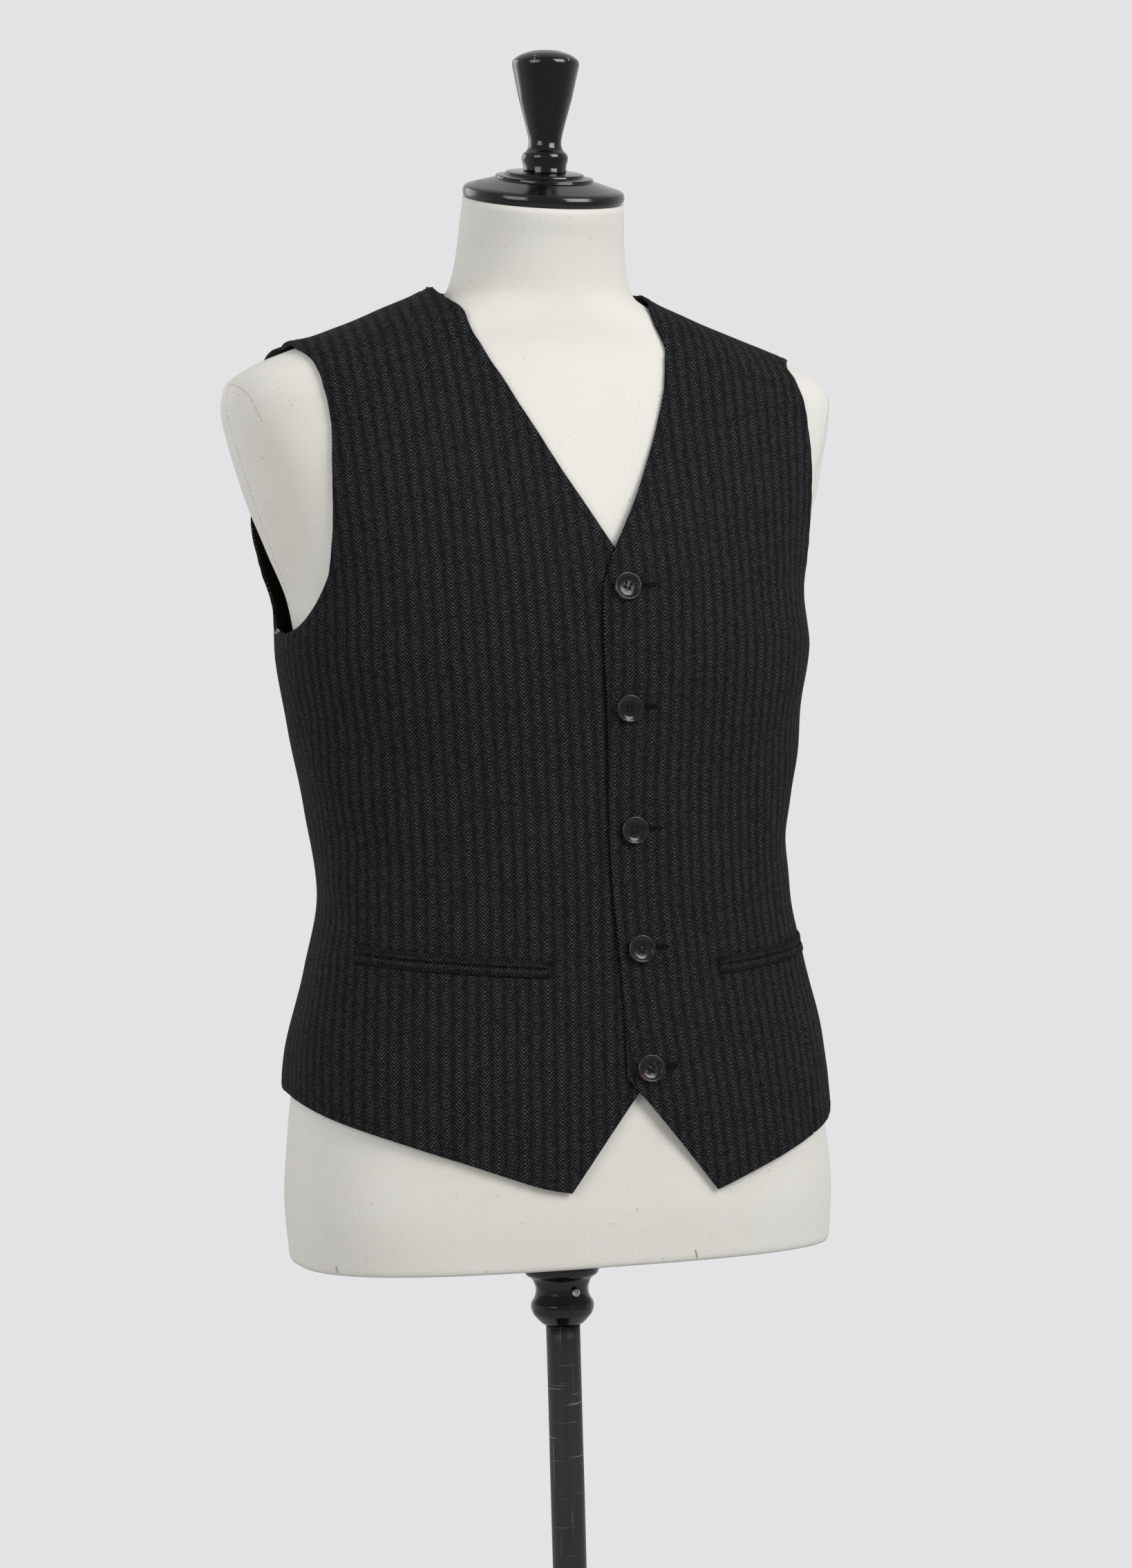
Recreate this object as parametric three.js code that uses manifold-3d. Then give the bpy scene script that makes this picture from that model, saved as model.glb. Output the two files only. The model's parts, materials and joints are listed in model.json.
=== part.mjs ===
// A man's single-breasted suit waistcoat with five buttons and two jetted pockets, on a limbless
// dress form with a turned stand. Millimetres, +Z up, the front faces -Y, the wearer's left is +X.
// The origin is the centre of the base's underside.
import * as THREE from "three";
import { mergeVertices } from "three/addons/utils/BufferGeometryUtils.js";
import Module from "manifold-3d";

const wasm = await Module();
wasm.setup();

// Cloth
const WALL = 2.4;
const SEAM_GAP = 0.3;
const REST_GAP = 0.3;
const FRONT_COLUMNS = 14;
const BACK_SHOULDER_COLUMNS = 7;
const BACK_NECK_COLUMNS = 10;
const BACK_HEM_RISE = 12;

// Closure: the left front lies over the right one
const OVERLAP_LIFT = 3;
const OVERLAP_TURNS = { full: 15.5, none: 28 };
const OVERLAP_LEVELS = { none: 858, full: 912, fade: 1315, gone: 1390 };

// Buttons
const BUTTON_SHANK = 0.75;
const BUTTON_HOLE = { radius: 0.95, offset: 1.75, length: 14 };

// Pocket jets
const JET_STEPS = 16;
const POCKET_MOUTH = 0.9;

// Dress form and stand
const FORM_BOTTOM = 800;
const LEAN_FROM = 1528;
const NECK_TOP = 1572;
const NECK_TOP_Y = -29;
const NECK_TILT = THREE.MathUtils.degToRad(16);
const FINIAL_TILT = THREE.MathUtils.degToRad(7);
const FORM_COLUMNS = 40;
const FORM_LONGEST_STEP = 42;
const CAP_HEIGHT = 20.5;
const FINIAL_CUT = { side: 100, height: 40 };
const COLLAR_BOTTOM = 743;
const POLE_RADIUS = 12.6;
const BASE_TOP = 62;
const SCREW = { radius: 3.5, headRadius: 2.45, length: 3, z: 768.5, turn: 12, seat: 20.1 };

// How many facets each round piece has, how far apart the points that give a normal are, and the
// distance under which two corners are one
const FACETS = { button: 20, hole: 6, cap: 36, finial: 24, collar: 28, pole: 28, base: 40, screw: 16 };
const NORMAL_STEP = { turn: 0.2, z: 0.3 };
const MERGE_DISTANCE = 1e-4;

const table = (columns, rows) => rows.map((row) => (
  Object.fromEntries(columns.map((name, index) => [name, row[index]]))
));

// The bust, a row for each level: half width along x, front and back along y, the y of its widest
// line, and how boxy the section is (2 is an ellipse)
const FORM = table(
  ["z", "halfWidth", "frontY", "backY", "widestY", "power"],
  [
    [800, 200, -119, 117, 0, 2.8],
    [845, 203, -123, 121, 0, 2.75],
    [900, 199, -122, 125, 0, 2.6],
    [950, 192, -117, 123, -2, 2.5],
    [1010, 175, -110, 112, -7, 2.45],
    [1070, 164, -107, 102, -10, 2.4],
    [1130, 171, -109, 103, -3, 2.4],
    [1190, 179, -115, 106, 0, 2.4],
    [1240, 184, -119, 109, 0, 2.4],
    [1280, 189, -118, 113, 4, 2.45],
    [1320, 203, -110, 118, 9, 2.5],
    [1360, 217, -99, 122, 14, 2.6],
    [1400, 228, -88, 122, 17, 2.6],
    [1425, 232.5, -81, 118, 18, 2.6],
    [1440, 230, -77, 112, 18, 2.5],
    [1453, 213, -73, 105, 17, 2.4],
    [1466, 184, -71, 98, 15, 2.3],
    [1477, 152, -71, 89, 11, 2.2],
    [1486, 120, -71, 79, 6, 2.1],
    [1494, 88, -71, 68, 0, 2.05],
    [1502, 72, -72, 59, -6, 2.0],
    [1516, 65.5, -75, 52, -12, 2.0],
    [1534, 62.2, -80, 46, -17, 2.0],
    [1554, 60.5, -84, 38, -23, 2.0],
    [NECK_TOP, 59, -88, 30, NECK_TOP_Y, 2.0],
  ],
);

// How far the cloth's inner side stands off the bust at the front, side, shoulder blade and back,
// and how much more on the wearer's right side, where the cloth bridges the foot of the neck
const EASE = table(
  ["z", "front", "side", "blade", "back", "rightExtra"],
  [
    [840, 3, 3, 4, 5, 0],
    [900, 2.5, 4.2, 3, 3, 0],
    [950, 3, 8, 5, 5, 0],
    [1010, 5, 10, 7, 12, 0],
    [1070, 7, 10, 9, 16, 0],
    [1130, 6, 9, 9, 15, 0],
    [1190, 4, 12, 10, 10, 0],
    [1240, 2.5, 15, 9, 7, 0],
    [1290, 2, 6, 14, 5, 0],
    [1330, 1.6, 2, 16, 4, 0],
    [1380, 1.3, 1.4, 9, 3, 0],
    [1430, 1.2, 1.4, 4.5, 1.8, 0],
    [1466, 1.2, 1.3, 2.2, 1.6, 0.3],
    [1477, 1.2, 1.6, 2, 1.5, 2],
    [1494, 1.3, 4.5, 4, 2, 6.5],
    [1510, 1.5, 5, 4, 2.5, 4],
    [1540, 1.5, 4, 4, 3, 0],
  ],
);

// The turn, either way from the front, at which each column of EASE holds
const EASE_TURNS = table(
  ["turn", "column"],
  [[0, "front"], [90, "side"], [130, "blade"], [180, "back"]],
);

// Edges of the cut pieces. turn is in degrees round the body: 0 is the form's centre front and 90
// its wearer's left side. steps is how many rows of the mesh the stretch takes.
const edge = (steps, rows) => ({ steps, points: table(["turn", "z"], rows) });

const RIGHT_CUTAWAY = edge(3, [[-8.2, 855], [-2, 884], [4.7, 914], [14.5, 953]]);
const RIGHT_UNDERLAP = edge(11, [[14.5, 953], [14.5, 1100], [13.5, 1268]]);
const RIGHT_NECKLINE = edge(14, [
  [13.5, 1268], [5.5, 1310], [-3.4, 1366], [-8.7, 1407], [-14.1, 1445], [-20.4, 1465],
  [-34.3, 1483], [-56.5, 1491], [-80, 1496], [-96, 1497],
]);
const RIGHT_HEM = edge(FRONT_COLUMNS, [
  [-8.2, 855], [-13.4, 859], [-30.4, 881], [-48.8, 901], [-72.9, 918], [-88, 924],
]);

const LEFT_CUTAWAY = edge(3, [[22.3, 851], [18, 872], [13.5, 893], [9, 913], [4.2, 933]]);
const LEFT_CLOSURE = edge(11, [
  [4.2, 933], [4.6, 1003], [3, 1087], [2.4, 1201], [1.9, 1245], [2.2, 1284],
]);
const LEFT_NECKLINE = edge(14, [
  [2.2, 1284], [5.5, 1310], [10.4, 1346], [14.5, 1387], [17.4, 1427], [18.7, 1444],
  [21.2, 1456], [27.9, 1476], [38.5, 1486], [60, 1489], [80, 1491], [96, 1492],
]);
const LEFT_HEM = edge(FRONT_COLUMNS, [
  [22.3, 851], [34.7, 867], [49.7, 883], [62.5, 893], [80, 907], [92, 918],
]);

const RIGHT_SIDE_SEAM = edge(12, [
  [-88, 924], [-92, 960], [-95, 1010], [-96, 1050], [-88, 1112], [-78, 1160], [-76, 1198],
  [-80, 1229], [-90, 1261],
]);
const LEFT_SIDE_SEAM = edge(12, [
  [92, 918], [94, 960], [95, 1010], [95, 1050], [90, 1112], [85, 1160], [84, 1198],
  [87, 1229], [93, 1261],
]);

// The waistcoat sits a little towards the wearer's left, so its two armholes differ
const RIGHT_ARMHOLE = edge(16, [
  [-90, 1261], [-81, 1259], [-73.8, 1262], [-67.1, 1272], [-62.2, 1285], [-58.1, 1297],
  [-53.3, 1320], [-48.9, 1348], [-46.1, 1376], [-44.1, 1404], [-44.3, 1428], [-48, 1445],
  [-57.9, 1456], [-78, 1463], [-95, 1464],
]);
const LEFT_ARMHOLE = edge(16, [
  [93, 1261], [86, 1259], [79, 1263], [74, 1273], [70, 1290], [65, 1312], [60, 1333],
  [56.5, 1352], [54, 1374], [51.5, 1396], [49.5, 1415], [48.5, 1432], [49.5, 1445],
  [54, 1453], [64, 1458], [80, 1460], [95, 1460],
]);
const RIGHT_BACK_ARMHOLE = edge(16, [
  [270, 1261], [261, 1264], [254, 1273], [249, 1287], [246, 1300], [241, 1320], [237, 1345],
  [233, 1372], [230, 1400], [230, 1422], [233, 1440], [243, 1455], [255, 1462], [265, 1464],
]);
const LEFT_BACK_ARMHOLE = edge(16, [
  [93, 1261], [102, 1264], [109, 1273], [114, 1287], [117, 1300], [122, 1320], [126, 1345],
  [129, 1372], [131, 1400], [131, 1422], [128, 1440], [118, 1452], [106, 1458], [95, 1460],
]);
const BACK_NECKLINE = edge(BACK_NECK_COLUMNS, [
  [96, 1492], [140, 1499], [180, 1502], [220, 1501], [264, 1497],
]);

// Where the buttons and the pocket mouths lie
const BUTTONS = table(
  ["turn", "z"],
  [[7.3, 1282], [7.4, 1197], [8.8, 1110], [9.5, 1024], [9.1, 939]],
);
const POCKETS = table(
  ["name", "innerTurn", "innerZ", "outerTurn", "outerZ"],
  [
    ["pocket_right", -12.3, 1012, -61, 1025],
    ["pocket_left", 29.2, 1009, 77.5, 1021],
  ],
);

// A jet's section: how far from the pocket's mouth and how high over the front it reaches
const JET_SECTION = [[0, 0], [5.2, 0], [5.2, 0.75], [4.4, 1.5], [1, 1.5], [0, 0.9]];

// Turned profiles, radius and height from the bottom up
const BUTTON_PROFILE = [
  [0, 0], [8, 0], [10, 1.6], [9.7, 2.9], [9, 3.4], [7.8, 3.2], [6.8, 2.3], [0, 2.3],
];
const CAP_PROFILE = [
  [0, 0], [57.5, 0], [59.2, 1.6], [59.6, 4.6], [58.6, 7.6], [56, 9], [38, 14.2], [36.2, 14.6],
  [35.8, 16.8], [29.4, 17.4], [28.4, 19.6], [18.5, CAP_HEIGHT], [0, CAP_HEIGHT],
];
const FINIAL_PROFILE = [
  [0, -4], [16.5, -4], [15.6, 2], [16.3, 5.5], [17.3, 9], [16.4, 12], [13.4, 14.5], [11.8, 19],
  [12.3, 24], [14.2, 32], [19.6, 52], [23.8, 72], [24.8, 76.5], [24, 79.5], [19.5, 83], [11, 86],
  [0, 87],
];
const COLLAR_PROFILE = [
  [0, 0], [14.2, 0], [17, 2.5], [22, 8], [23.6, 13], [23.4, 16.5], [21, 20], [19.6, 24],
  [19.6, 28], [22, 34.5], [27, 37.5], [28.5, 41], [28.5, FORM_BOTTOM - COLLAR_BOTTOM - REST_GAP],
  [0, FORM_BOTTOM - COLLAR_BOTTOM - REST_GAP],
];
const BASE_PROFILE = [
  [0, 0], [188, 0], [192, 4], [192, 16], [187, 22], [60, 30], [44, 34], [32, 46], [30, 58],
  [26, BASE_TOP], [0, BASE_TOP],
];

const COLOURS = {
  wool: new THREE.MeshStandardMaterial({ color: 0x24272a, roughness: 0.92, metalness: 0 }),
  jet: new THREE.MeshStandardMaterial({ color: 0x1f2225, roughness: 0.92, metalness: 0 }),
  horn: new THREE.MeshStandardMaterial({ color: 0x17120e, roughness: 0.35, metalness: 0 }),
  linen: new THREE.MeshStandardMaterial({ color: 0xd9d6cc, roughness: 0.85, metalness: 0 }),
  lacquer: new THREE.MeshStandardMaterial({ color: 0x0b0c0e, roughness: 0.25, metalness: 0 }),
  steel: new THREE.MeshStandardMaterial({ color: 0xb8b8b6, roughness: 0.3, metalness: 1 }),
};

// Slopes of a smooth curve through a table's rows that never swings past a row
function slopes(rows, key, column) {
  const steps = rows.slice(1).map((row, i) => (
    (row[column] - rows[i][column]) / (row[key] - rows[i][key])
  ));
  return rows.map((_, i) => {
    const before = steps[Math.max(i - 1, 0)];
    const after = steps[Math.min(i, steps.length - 1)];
    return before * after <= 0 ? 0 : (2 * before * after) / (before + after);
  });
}

// A function that gives every column of a table at any value of its key
function smoothTable(rows, key) {
  const columns = Object.keys(rows[0]).filter((name) => name !== key);
  const tangents = Object.fromEntries(columns.map((name) => [name, slopes(rows, key, name)]));
  return (value) => {
    const clamped = THREE.MathUtils.clamp(value, rows[0][key], rows.at(-1)[key]);
    const above = rows.findIndex((row, index) => index > 0 && row[key] >= clamped);
    const [low, high] = [rows[above - 1], rows[above]];
    const span = high[key] - low[key];
    const t = (clamped - low[key]) / span;
    const result = { [key]: clamped };
    for (const name of columns) {
      result[name] = (2 * t ** 3 - 3 * t ** 2 + 1) * low[name]
        + (t ** 3 - 2 * t ** 2 + t) * span * tangents[name][above - 1]
        + (3 * t ** 2 - 2 * t ** 3) * high[name]
        + (t ** 3 - t ** 2) * span * tangents[name][above];
    }
    return result;
  };
}

const formAt = smoothTable(FORM, "z");
const easeAt = smoothTable(EASE, "z");

// A point of the bust's surface; the neck's top leans to the front
function bustPoint(turn, z) {
  const row = formAt(z);
  const s = Math.sin(THREE.MathUtils.degToRad(turn));
  const c = Math.cos(THREE.MathUtils.degToRad(turn));
  const reach = (Math.abs(s) ** row.power + Math.abs(c) ** row.power) ** (-1 / row.power);
  const depth = c > 0 ? row.widestY - row.frontY : row.backY - row.widestY;
  const y = row.widestY - depth * reach * c;
  const lean = THREE.MathUtils.smoothstep(z, LEAN_FROM, NECK_TOP) * Math.tan(NECK_TILT);
  return new THREE.Vector3(row.halfWidth * reach * s, y, z + lean * (y - row.widestY));
}

function bustNormal(turn, z) {
  const across = bustPoint(turn + NORMAL_STEP.turn, z).sub(bustPoint(turn - NORMAL_STEP.turn, z));
  const up = bustPoint(turn, z + NORMAL_STEP.z).sub(bustPoint(turn, z - NORMAL_STEP.z));
  return across.cross(up).normalize();
}

function ease(turn, z) {
  const row = easeAt(z);
  const knots = EASE_TURNS.map(({ turn: at, column }) => [at, row[column]]);
  const angle = Math.abs(THREE.MathUtils.euclideanModulo(turn + 180, 360) - 180);
  const to = knots.findIndex(([knot]) => knot > 0 && knot >= angle);
  const share = THREE.MathUtils.smoothstep(angle, knots[to - 1][0], knots[to][0]);
  const onRight = Math.max(0, -Math.sin(THREE.MathUtils.degToRad(turn))) ** 2;
  return THREE.MathUtils.lerp(knots[to - 1][1], knots[to][1], share) + onRight * row.rightExtra;
}

// How far the left front rises to clear the right front that lies under it
function overlapLift(turn, z) {
  const { smoothstep } = THREE.MathUtils;
  const across = 1 - smoothstep(turn, OVERLAP_TURNS.full, OVERLAP_TURNS.none);
  const up = smoothstep(z, OVERLAP_LEVELS.none, OVERLAP_LEVELS.full);
  const down = 1 - smoothstep(z, OVERLAP_LEVELS.fade, OVERLAP_LEVELS.gone);
  return OVERLAP_LIFT * across * up * down;
}

// A point of the cloth, measured out from its inner side
const clothPoint = (turn, z, out) => (
  bustPoint(turn, z).addScaledVector(bustNormal(turn, z), ease(turn, z) + out)
);

function mesh(name, geometry, material) {
  const piece = new THREE.Mesh(geometry, material);
  piece.name = name;
  return piece;
}

function indexedGeometry(points, triangles) {
  const geometry = new THREE.BufferGeometry();
  const positions = points.flatMap((point) => point.toArray());
  geometry.setAttribute("position", new THREE.Float32BufferAttribute(positions, 3));
  geometry.setIndex(triangles);
  return geometry;
}

// Points along a run of edge stretches, one for each row
function sampleEdges(...stretches) {
  return stretches.flatMap(({ steps, points }, index) => {
    const knots = points.map(({ turn, z }) => new THREE.Vector3(turn, z, 0));
    const line = new THREE.CatmullRomCurve3(knots, false, "centripetal");
    const spaced = line.getSpacedPoints(steps);
    return (index === 0 ? spaced : spaced.slice(1)).map(({ x, y }) => new THREE.Vector2(x, y));
  });
}

// A grid of (turn, z) places inside four edges that share their corners
function fillPatch(start, end, bottom, top) {
  const rows = start.length - 1;
  const columns = bottom.length - 1;
  const between = (a, b, t) => a.clone().lerp(b, t);
  return start.map((_, j) => bottom.map((__, i) => {
    const u = i / columns;
    const v = j / rows;
    const ruled = between(start[j], end[j], u);
    const low = bottom[i].clone().sub(between(bottom[0], bottom[columns], u));
    const high = top[i].clone().sub(between(top[0], top[columns], u));
    return ruled.addScaledVector(low, (1 - v) ** 2).addScaledVector(high, v ** 2);
  }));
}

// Draws the outer columns or the last row of a grid of points back from a seam
function openSeam(grid, side, lastRow) {
  const shrink = (point, inner) => {
    const step = inner.clone().sub(point).setLength(SEAM_GAP / 2);
    point.add(step);
  };
  const columns = grid[0].length - 1;
  if (side === "start") grid.slice(0, lastRow + 1).forEach((row) => shrink(row[0], row[1]));
  if (side === "end") {
    grid.slice(0, lastRow + 1).forEach((row) => shrink(row[columns], row[columns - 1]));
  }
  if (side === "top") {
    const last = grid.length - 1;
    grid[last].forEach((point, i) => shrink(point, grid[last - 1][i]));
  }
}

// Puts every second point of a front's shoulder seam midway between its neighbours, because the
// back has half as many points there
function matchShoulder(grid) {
  const seam = grid.at(-1);
  for (let i = 1; i < seam.length - 1; i += 2) seam[i].lerpVectors(seam[i - 1], seam[i + 1], 0.5);
}

// A cloth wall between two grids of points; flip is set where the columns run the other way
function wallGeometry(inner, outer, flip) {
  const rows = inner.length;
  const columns = inner[0].length;
  const points = [...inner.flat(), ...outer.flat()];
  const at = (layer, j, i) => layer * rows * columns + j * columns + i;
  const triangles = [];
  const quad = (a, b, c, d) => {
    const corners = flip ? [a, d, c, b] : [a, b, c, d];
    triangles.push(corners[0], corners[1], corners[2], corners[0], corners[2], corners[3]);
  };
  for (let j = 0; j < rows - 1; j += 1) {
    for (let i = 0; i < columns - 1; i += 1) {
      quad(at(1, j, i), at(1, j, i + 1), at(1, j + 1, i + 1), at(1, j + 1, i));
      quad(at(0, j, i), at(0, j + 1, i), at(0, j + 1, i + 1), at(0, j, i + 1));
    }
    quad(at(0, j, 0), at(1, j, 0), at(1, j + 1, 0), at(0, j + 1, 0));
    const last = columns - 1;
    quad(at(1, j, last), at(0, j, last), at(0, j + 1, last), at(1, j + 1, last));
  }
  for (let i = 0; i < columns - 1; i += 1) {
    const top = rows - 1;
    quad(at(0, 0, i), at(0, 0, i + 1), at(1, 0, i + 1), at(1, 0, i));
    quad(at(1, top, i), at(1, top, i + 1), at(0, top, i + 1), at(0, top, i));
  }
  return indexedGeometry(points, triangles);
}

// A panel of the waistcoat from its patch; lift says how far each place is raised
function panel(name, patch, lift, seams, flip, finish = () => {}) {
  const layers = [0, WALL].map((out) => patch.map((row) => row.map(({ x: turn, y: z }) => (
    clothPoint(turn, z, lift(turn, z) + out)
  ))));
  for (const layer of layers) {
    finish(layer);
    for (const { side, lastRow } of seams) openSeam(layer, side, lastRow);
  }
  return mesh(name, wallGeometry(layers[0], layers[1], flip), COLOURS.wool);
}

const roundTheBack = ({ steps, points }) => ({
  steps,
  points: points.map(({ turn, z }) => ({ turn: turn + 360, z })),
});

function frontPanel(name, frontEdges, sideSeam, armhole, hem, lift, flip) {
  const start = sampleEdges(...frontEdges);
  const end = sampleEdges(sideSeam, armhole);
  const bottom = sampleEdges(hem);
  const top = bottom.map((_, i) => start.at(-1).clone().lerp(end.at(-1), i / FRONT_COLUMNS));
  const seams = [{ side: "end", lastRow: sideSeam.steps }, { side: "top" }];
  return panel(name, fillPatch(start, end, bottom, top), lift, seams, flip, matchShoulder);
}

// The back runs from the wearer's left side seam round to the right one
function backPanel() {
  const start = sampleEdges(LEFT_SIDE_SEAM, LEFT_BACK_ARMHOLE);
  const end = sampleEdges(roundTheBack(RIGHT_SIDE_SEAM), RIGHT_BACK_ARMHOLE);
  const columns = 2 * BACK_SHOULDER_COLUMNS + BACK_NECK_COLUMNS;
  const bottom = Array.from({ length: columns + 1 }, (_, i) => {
    const place = start[0].clone().lerp(end[0], i / columns);
    place.y += BACK_HEM_RISE * Math.sin((Math.PI * i) / columns);
    return place;
  });
  const shoulder = (from, to) => ({ steps: BACK_SHOULDER_COLUMNS, points: [from, to] });
  const top = sampleEdges(
    shoulder(LEFT_BACK_ARMHOLE.points.at(-1), BACK_NECKLINE.points[0]),
    BACK_NECKLINE,
    shoulder(BACK_NECKLINE.points.at(-1), RIGHT_BACK_ARMHOLE.points.at(-1)),
  );
  const lastRow = LEFT_SIDE_SEAM.steps;
  const seams = [{ side: "start", lastRow }, { side: "end", lastRow }, { side: "top" }];
  return panel("back", fillPatch(start, end, bottom, top), () => 0, seams, false);
}

// A folded strip of cloth beside a pocket's mouth, lying on the front
function jet(name, pocket, direction) {
  const section = JET_SECTION.map(([up, out]) => [POCKET_MOUTH / 2 + up, WALL + REST_GAP + out]);
  const points = [];
  for (let step = 0; step <= JET_STEPS; step += 1) {
    const t = step / JET_STEPS;
    const turn = THREE.MathUtils.lerp(pocket.innerTurn, pocket.outerTurn, t);
    const z = THREE.MathUtils.lerp(pocket.innerZ, pocket.outerZ, t);
    for (const [up, out] of section) points.push(clothPoint(turn, z + up * direction, out));
  }
  const sides = section.length;
  const flip = direction * Math.sign(pocket.outerTurn - pocket.innerTurn) > 0;
  const triangles = [];
  const face = (a, b, c) => triangles.push(...(flip ? [a, c, b] : [a, b, c]));
  for (let step = 0; step < JET_STEPS; step += 1) {
    for (let k = 0; k < sides; k += 1) {
      const [a, b] = [step * sides + k, step * sides + ((k + 1) % sides)];
      face(a, b + sides, b);
      face(a, a + sides, b + sides);
    }
  }
  const last = JET_STEPS * sides;
  for (let k = 1; k < sides - 1; k += 1) {
    face(0, k, k + 1);
    face(last, last + k + 1, last + k);
  }
  return mesh(name, indexedGeometry(points, triangles), COLOURS.jet);
}

function lathe(profile, segments) {
  const geometry = new THREE.LatheGeometry(profile.map(([r, h]) => new THREE.Vector2(r, h)), segments);
  return geometry.rotateX(Math.PI / 2);
}

function toManifold(geometry) {
  const bare = geometry.clone();
  bare.deleteAttribute("normal");
  bare.deleteAttribute("uv");
  const merged = mergeVertices(bare, MERGE_DISTANCE);
  return new wasm.Manifold(new wasm.Mesh({
    numProp: 3,
    vertProperties: Float32Array.from(merged.attributes.position.array),
    triVerts: Uint32Array.from(merged.index.array),
  }));
}

function fromManifold(solid) {
  const { vertProperties, triVerts } = solid.getMesh();
  const geometry = new THREE.BufferGeometry();
  geometry.setAttribute("position", new THREE.BufferAttribute(vertProperties, 3));
  geometry.setIndex(new THREE.BufferAttribute(triVerts, 1));
  return geometry;
}

// A four-hole button with a raised rim, its back on z = 0
function buttonGeometry() {
  const { radius, offset, length } = BUTTON_HOLE;
  let solid = toManifold(lathe(BUTTON_PROFILE, FACETS.button));
  for (const [x, y] of [[1, 1], [1, -1], [-1, 1], [-1, -1]]) {
    const hole = new THREE.CylinderGeometry(radius, radius, length, FACETS.hole);
    hole.rotateX(Math.PI / 2);
    hole.translate(x * offset, y * offset, 0);
    solid = solid.subtract(toManifold(hole));
  }
  return fromManifold(solid);
}

// Buttons lie flat on the left front, their faces along the cloth's normal
function buttons() {
  const geometry = buttonGeometry();
  return BUTTONS.map(({ turn, z }, index) => {
    const button = mesh(`button_${index + 1}`, geometry.clone(), COLOURS.horn);
    button.position.copy(clothPoint(turn, z, overlapLift(turn, z) + WALL + BUTTON_SHANK));
    button.quaternion.setFromUnitVectors(new THREE.Vector3(0, 0, 1), bustNormal(turn, z));
    return button;
  });
}

function waistcoat() {
  const group = new THREE.Group();
  const flat = () => 0;
  const rightEdges = [RIGHT_CUTAWAY, RIGHT_UNDERLAP, RIGHT_NECKLINE];
  const leftEdges = [LEFT_CUTAWAY, LEFT_CLOSURE, LEFT_NECKLINE];
  group.add(
    frontPanel("front_right", rightEdges, RIGHT_SIDE_SEAM, RIGHT_ARMHOLE, RIGHT_HEM, flat, true),
    frontPanel("front_left", leftEdges, LEFT_SIDE_SEAM, LEFT_ARMHOLE, LEFT_HEM, overlapLift, false),
    backPanel(),
    ...buttons(),
  );
  for (const pocket of POCKETS) {
    group.add(jet(`${pocket.name}_jet_upper`, pocket, 1));
    group.add(jet(`${pocket.name}_jet_lower`, pocket, -1));
  }
  return group;
}

// The bust is a stack of rings, closed at its flat underside and at the neck's leaning top
function bust() {
  const levels = FORM.flatMap(({ z }, i) => {
    const next = FORM[i + 1];
    return next && next.z - z > FORM_LONGEST_STEP ? [z, (z + next.z) / 2] : [z];
  });
  const points = levels.flatMap((z) => Array.from({ length: FORM_COLUMNS }, (_, i) => (
    bustPoint((360 * i) / FORM_COLUMNS, z)
  )));
  const triangles = [];
  for (let j = 0; j < levels.length - 1; j += 1) {
    for (let i = 0; i < FORM_COLUMNS; i += 1) {
      const [a, b] = [j * FORM_COLUMNS + i, j * FORM_COLUMNS + ((i + 1) % FORM_COLUMNS)];
      triangles.push(a, b, b + FORM_COLUMNS, a, b + FORM_COLUMNS, a + FORM_COLUMNS);
    }
  }
  const bottomCentre = points.length;
  const topRing = (levels.length - 1) * FORM_COLUMNS;
  points.push(new THREE.Vector3(0, 0, FORM_BOTTOM), new THREE.Vector3(0, NECK_TOP_Y, NECK_TOP));
  for (let i = 0; i < FORM_COLUMNS; i += 1) {
    const next = (i + 1) % FORM_COLUMNS;
    triangles.push(bottomCentre, next, i, bottomCentre + 1, topRing + i, topRing + next);
  }
  return mesh("form_torso", indexedGeometry(points, triangles), COLOURS.linen);
}

// The finial stands nearly upright, so its foot is cut to the slope of the cap
function finialGeometry() {
  const shape = lathe(FINIAL_PROFILE, FACETS.finial).rotateX(FINIAL_TILT - NECK_TILT);
  const { side, height } = FINIAL_CUT;
  const below = new THREE.BoxGeometry(side, side, height).translate(0, 0, -height / 2);
  return fromManifold(toManifold(shape).subtract(toManifold(below)));
}

function neckTop() {
  const group = new THREE.Group();
  const cap = mesh("neck_cap", lathe(CAP_PROFILE, FACETS.cap), COLOURS.lacquer);
  const finial = mesh("finial", finialGeometry(), COLOURS.lacquer);
  cap.position.z = REST_GAP;
  finial.position.z = CAP_HEIGHT + 2 * REST_GAP;
  group.add(cap, finial);
  group.position.set(0, NECK_TOP_Y, NECK_TOP);
  group.rotation.x = NECK_TILT;
  return group;
}

function stand() {
  const group = new THREE.Group();
  const collar = mesh("collar", lathe(COLLAR_PROFILE, FACETS.collar), COLOURS.lacquer);
  collar.position.z = COLLAR_BOTTOM;
  const length = COLLAR_BOTTOM - BASE_TOP - 2 * REST_GAP;
  const poleShape = new THREE.CylinderGeometry(POLE_RADIUS, POLE_RADIUS, length, FACETS.pole);
  const pole = mesh("pole", poleShape.rotateX(Math.PI / 2), COLOURS.lacquer);
  pole.position.z = BASE_TOP + REST_GAP + length / 2;
  const base = mesh("base", lathe(BASE_PROFILE, FACETS.base), COLOURS.lacquer);
  const screwShape = new THREE.CylinderGeometry(
    SCREW.headRadius, SCREW.radius, SCREW.length, FACETS.screw,
  );
  screwShape.translate(0, SCREW.seat + REST_GAP + SCREW.length / 2, 0);
  const screw = mesh("collar_screw", screwShape.rotateX(Math.PI), COLOURS.steel);
  screw.rotation.z = THREE.MathUtils.degToRad(SCREW.turn);
  screw.position.z = SCREW.z;
  group.add(collar, pole, base, screw);
  return group;
}

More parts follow.
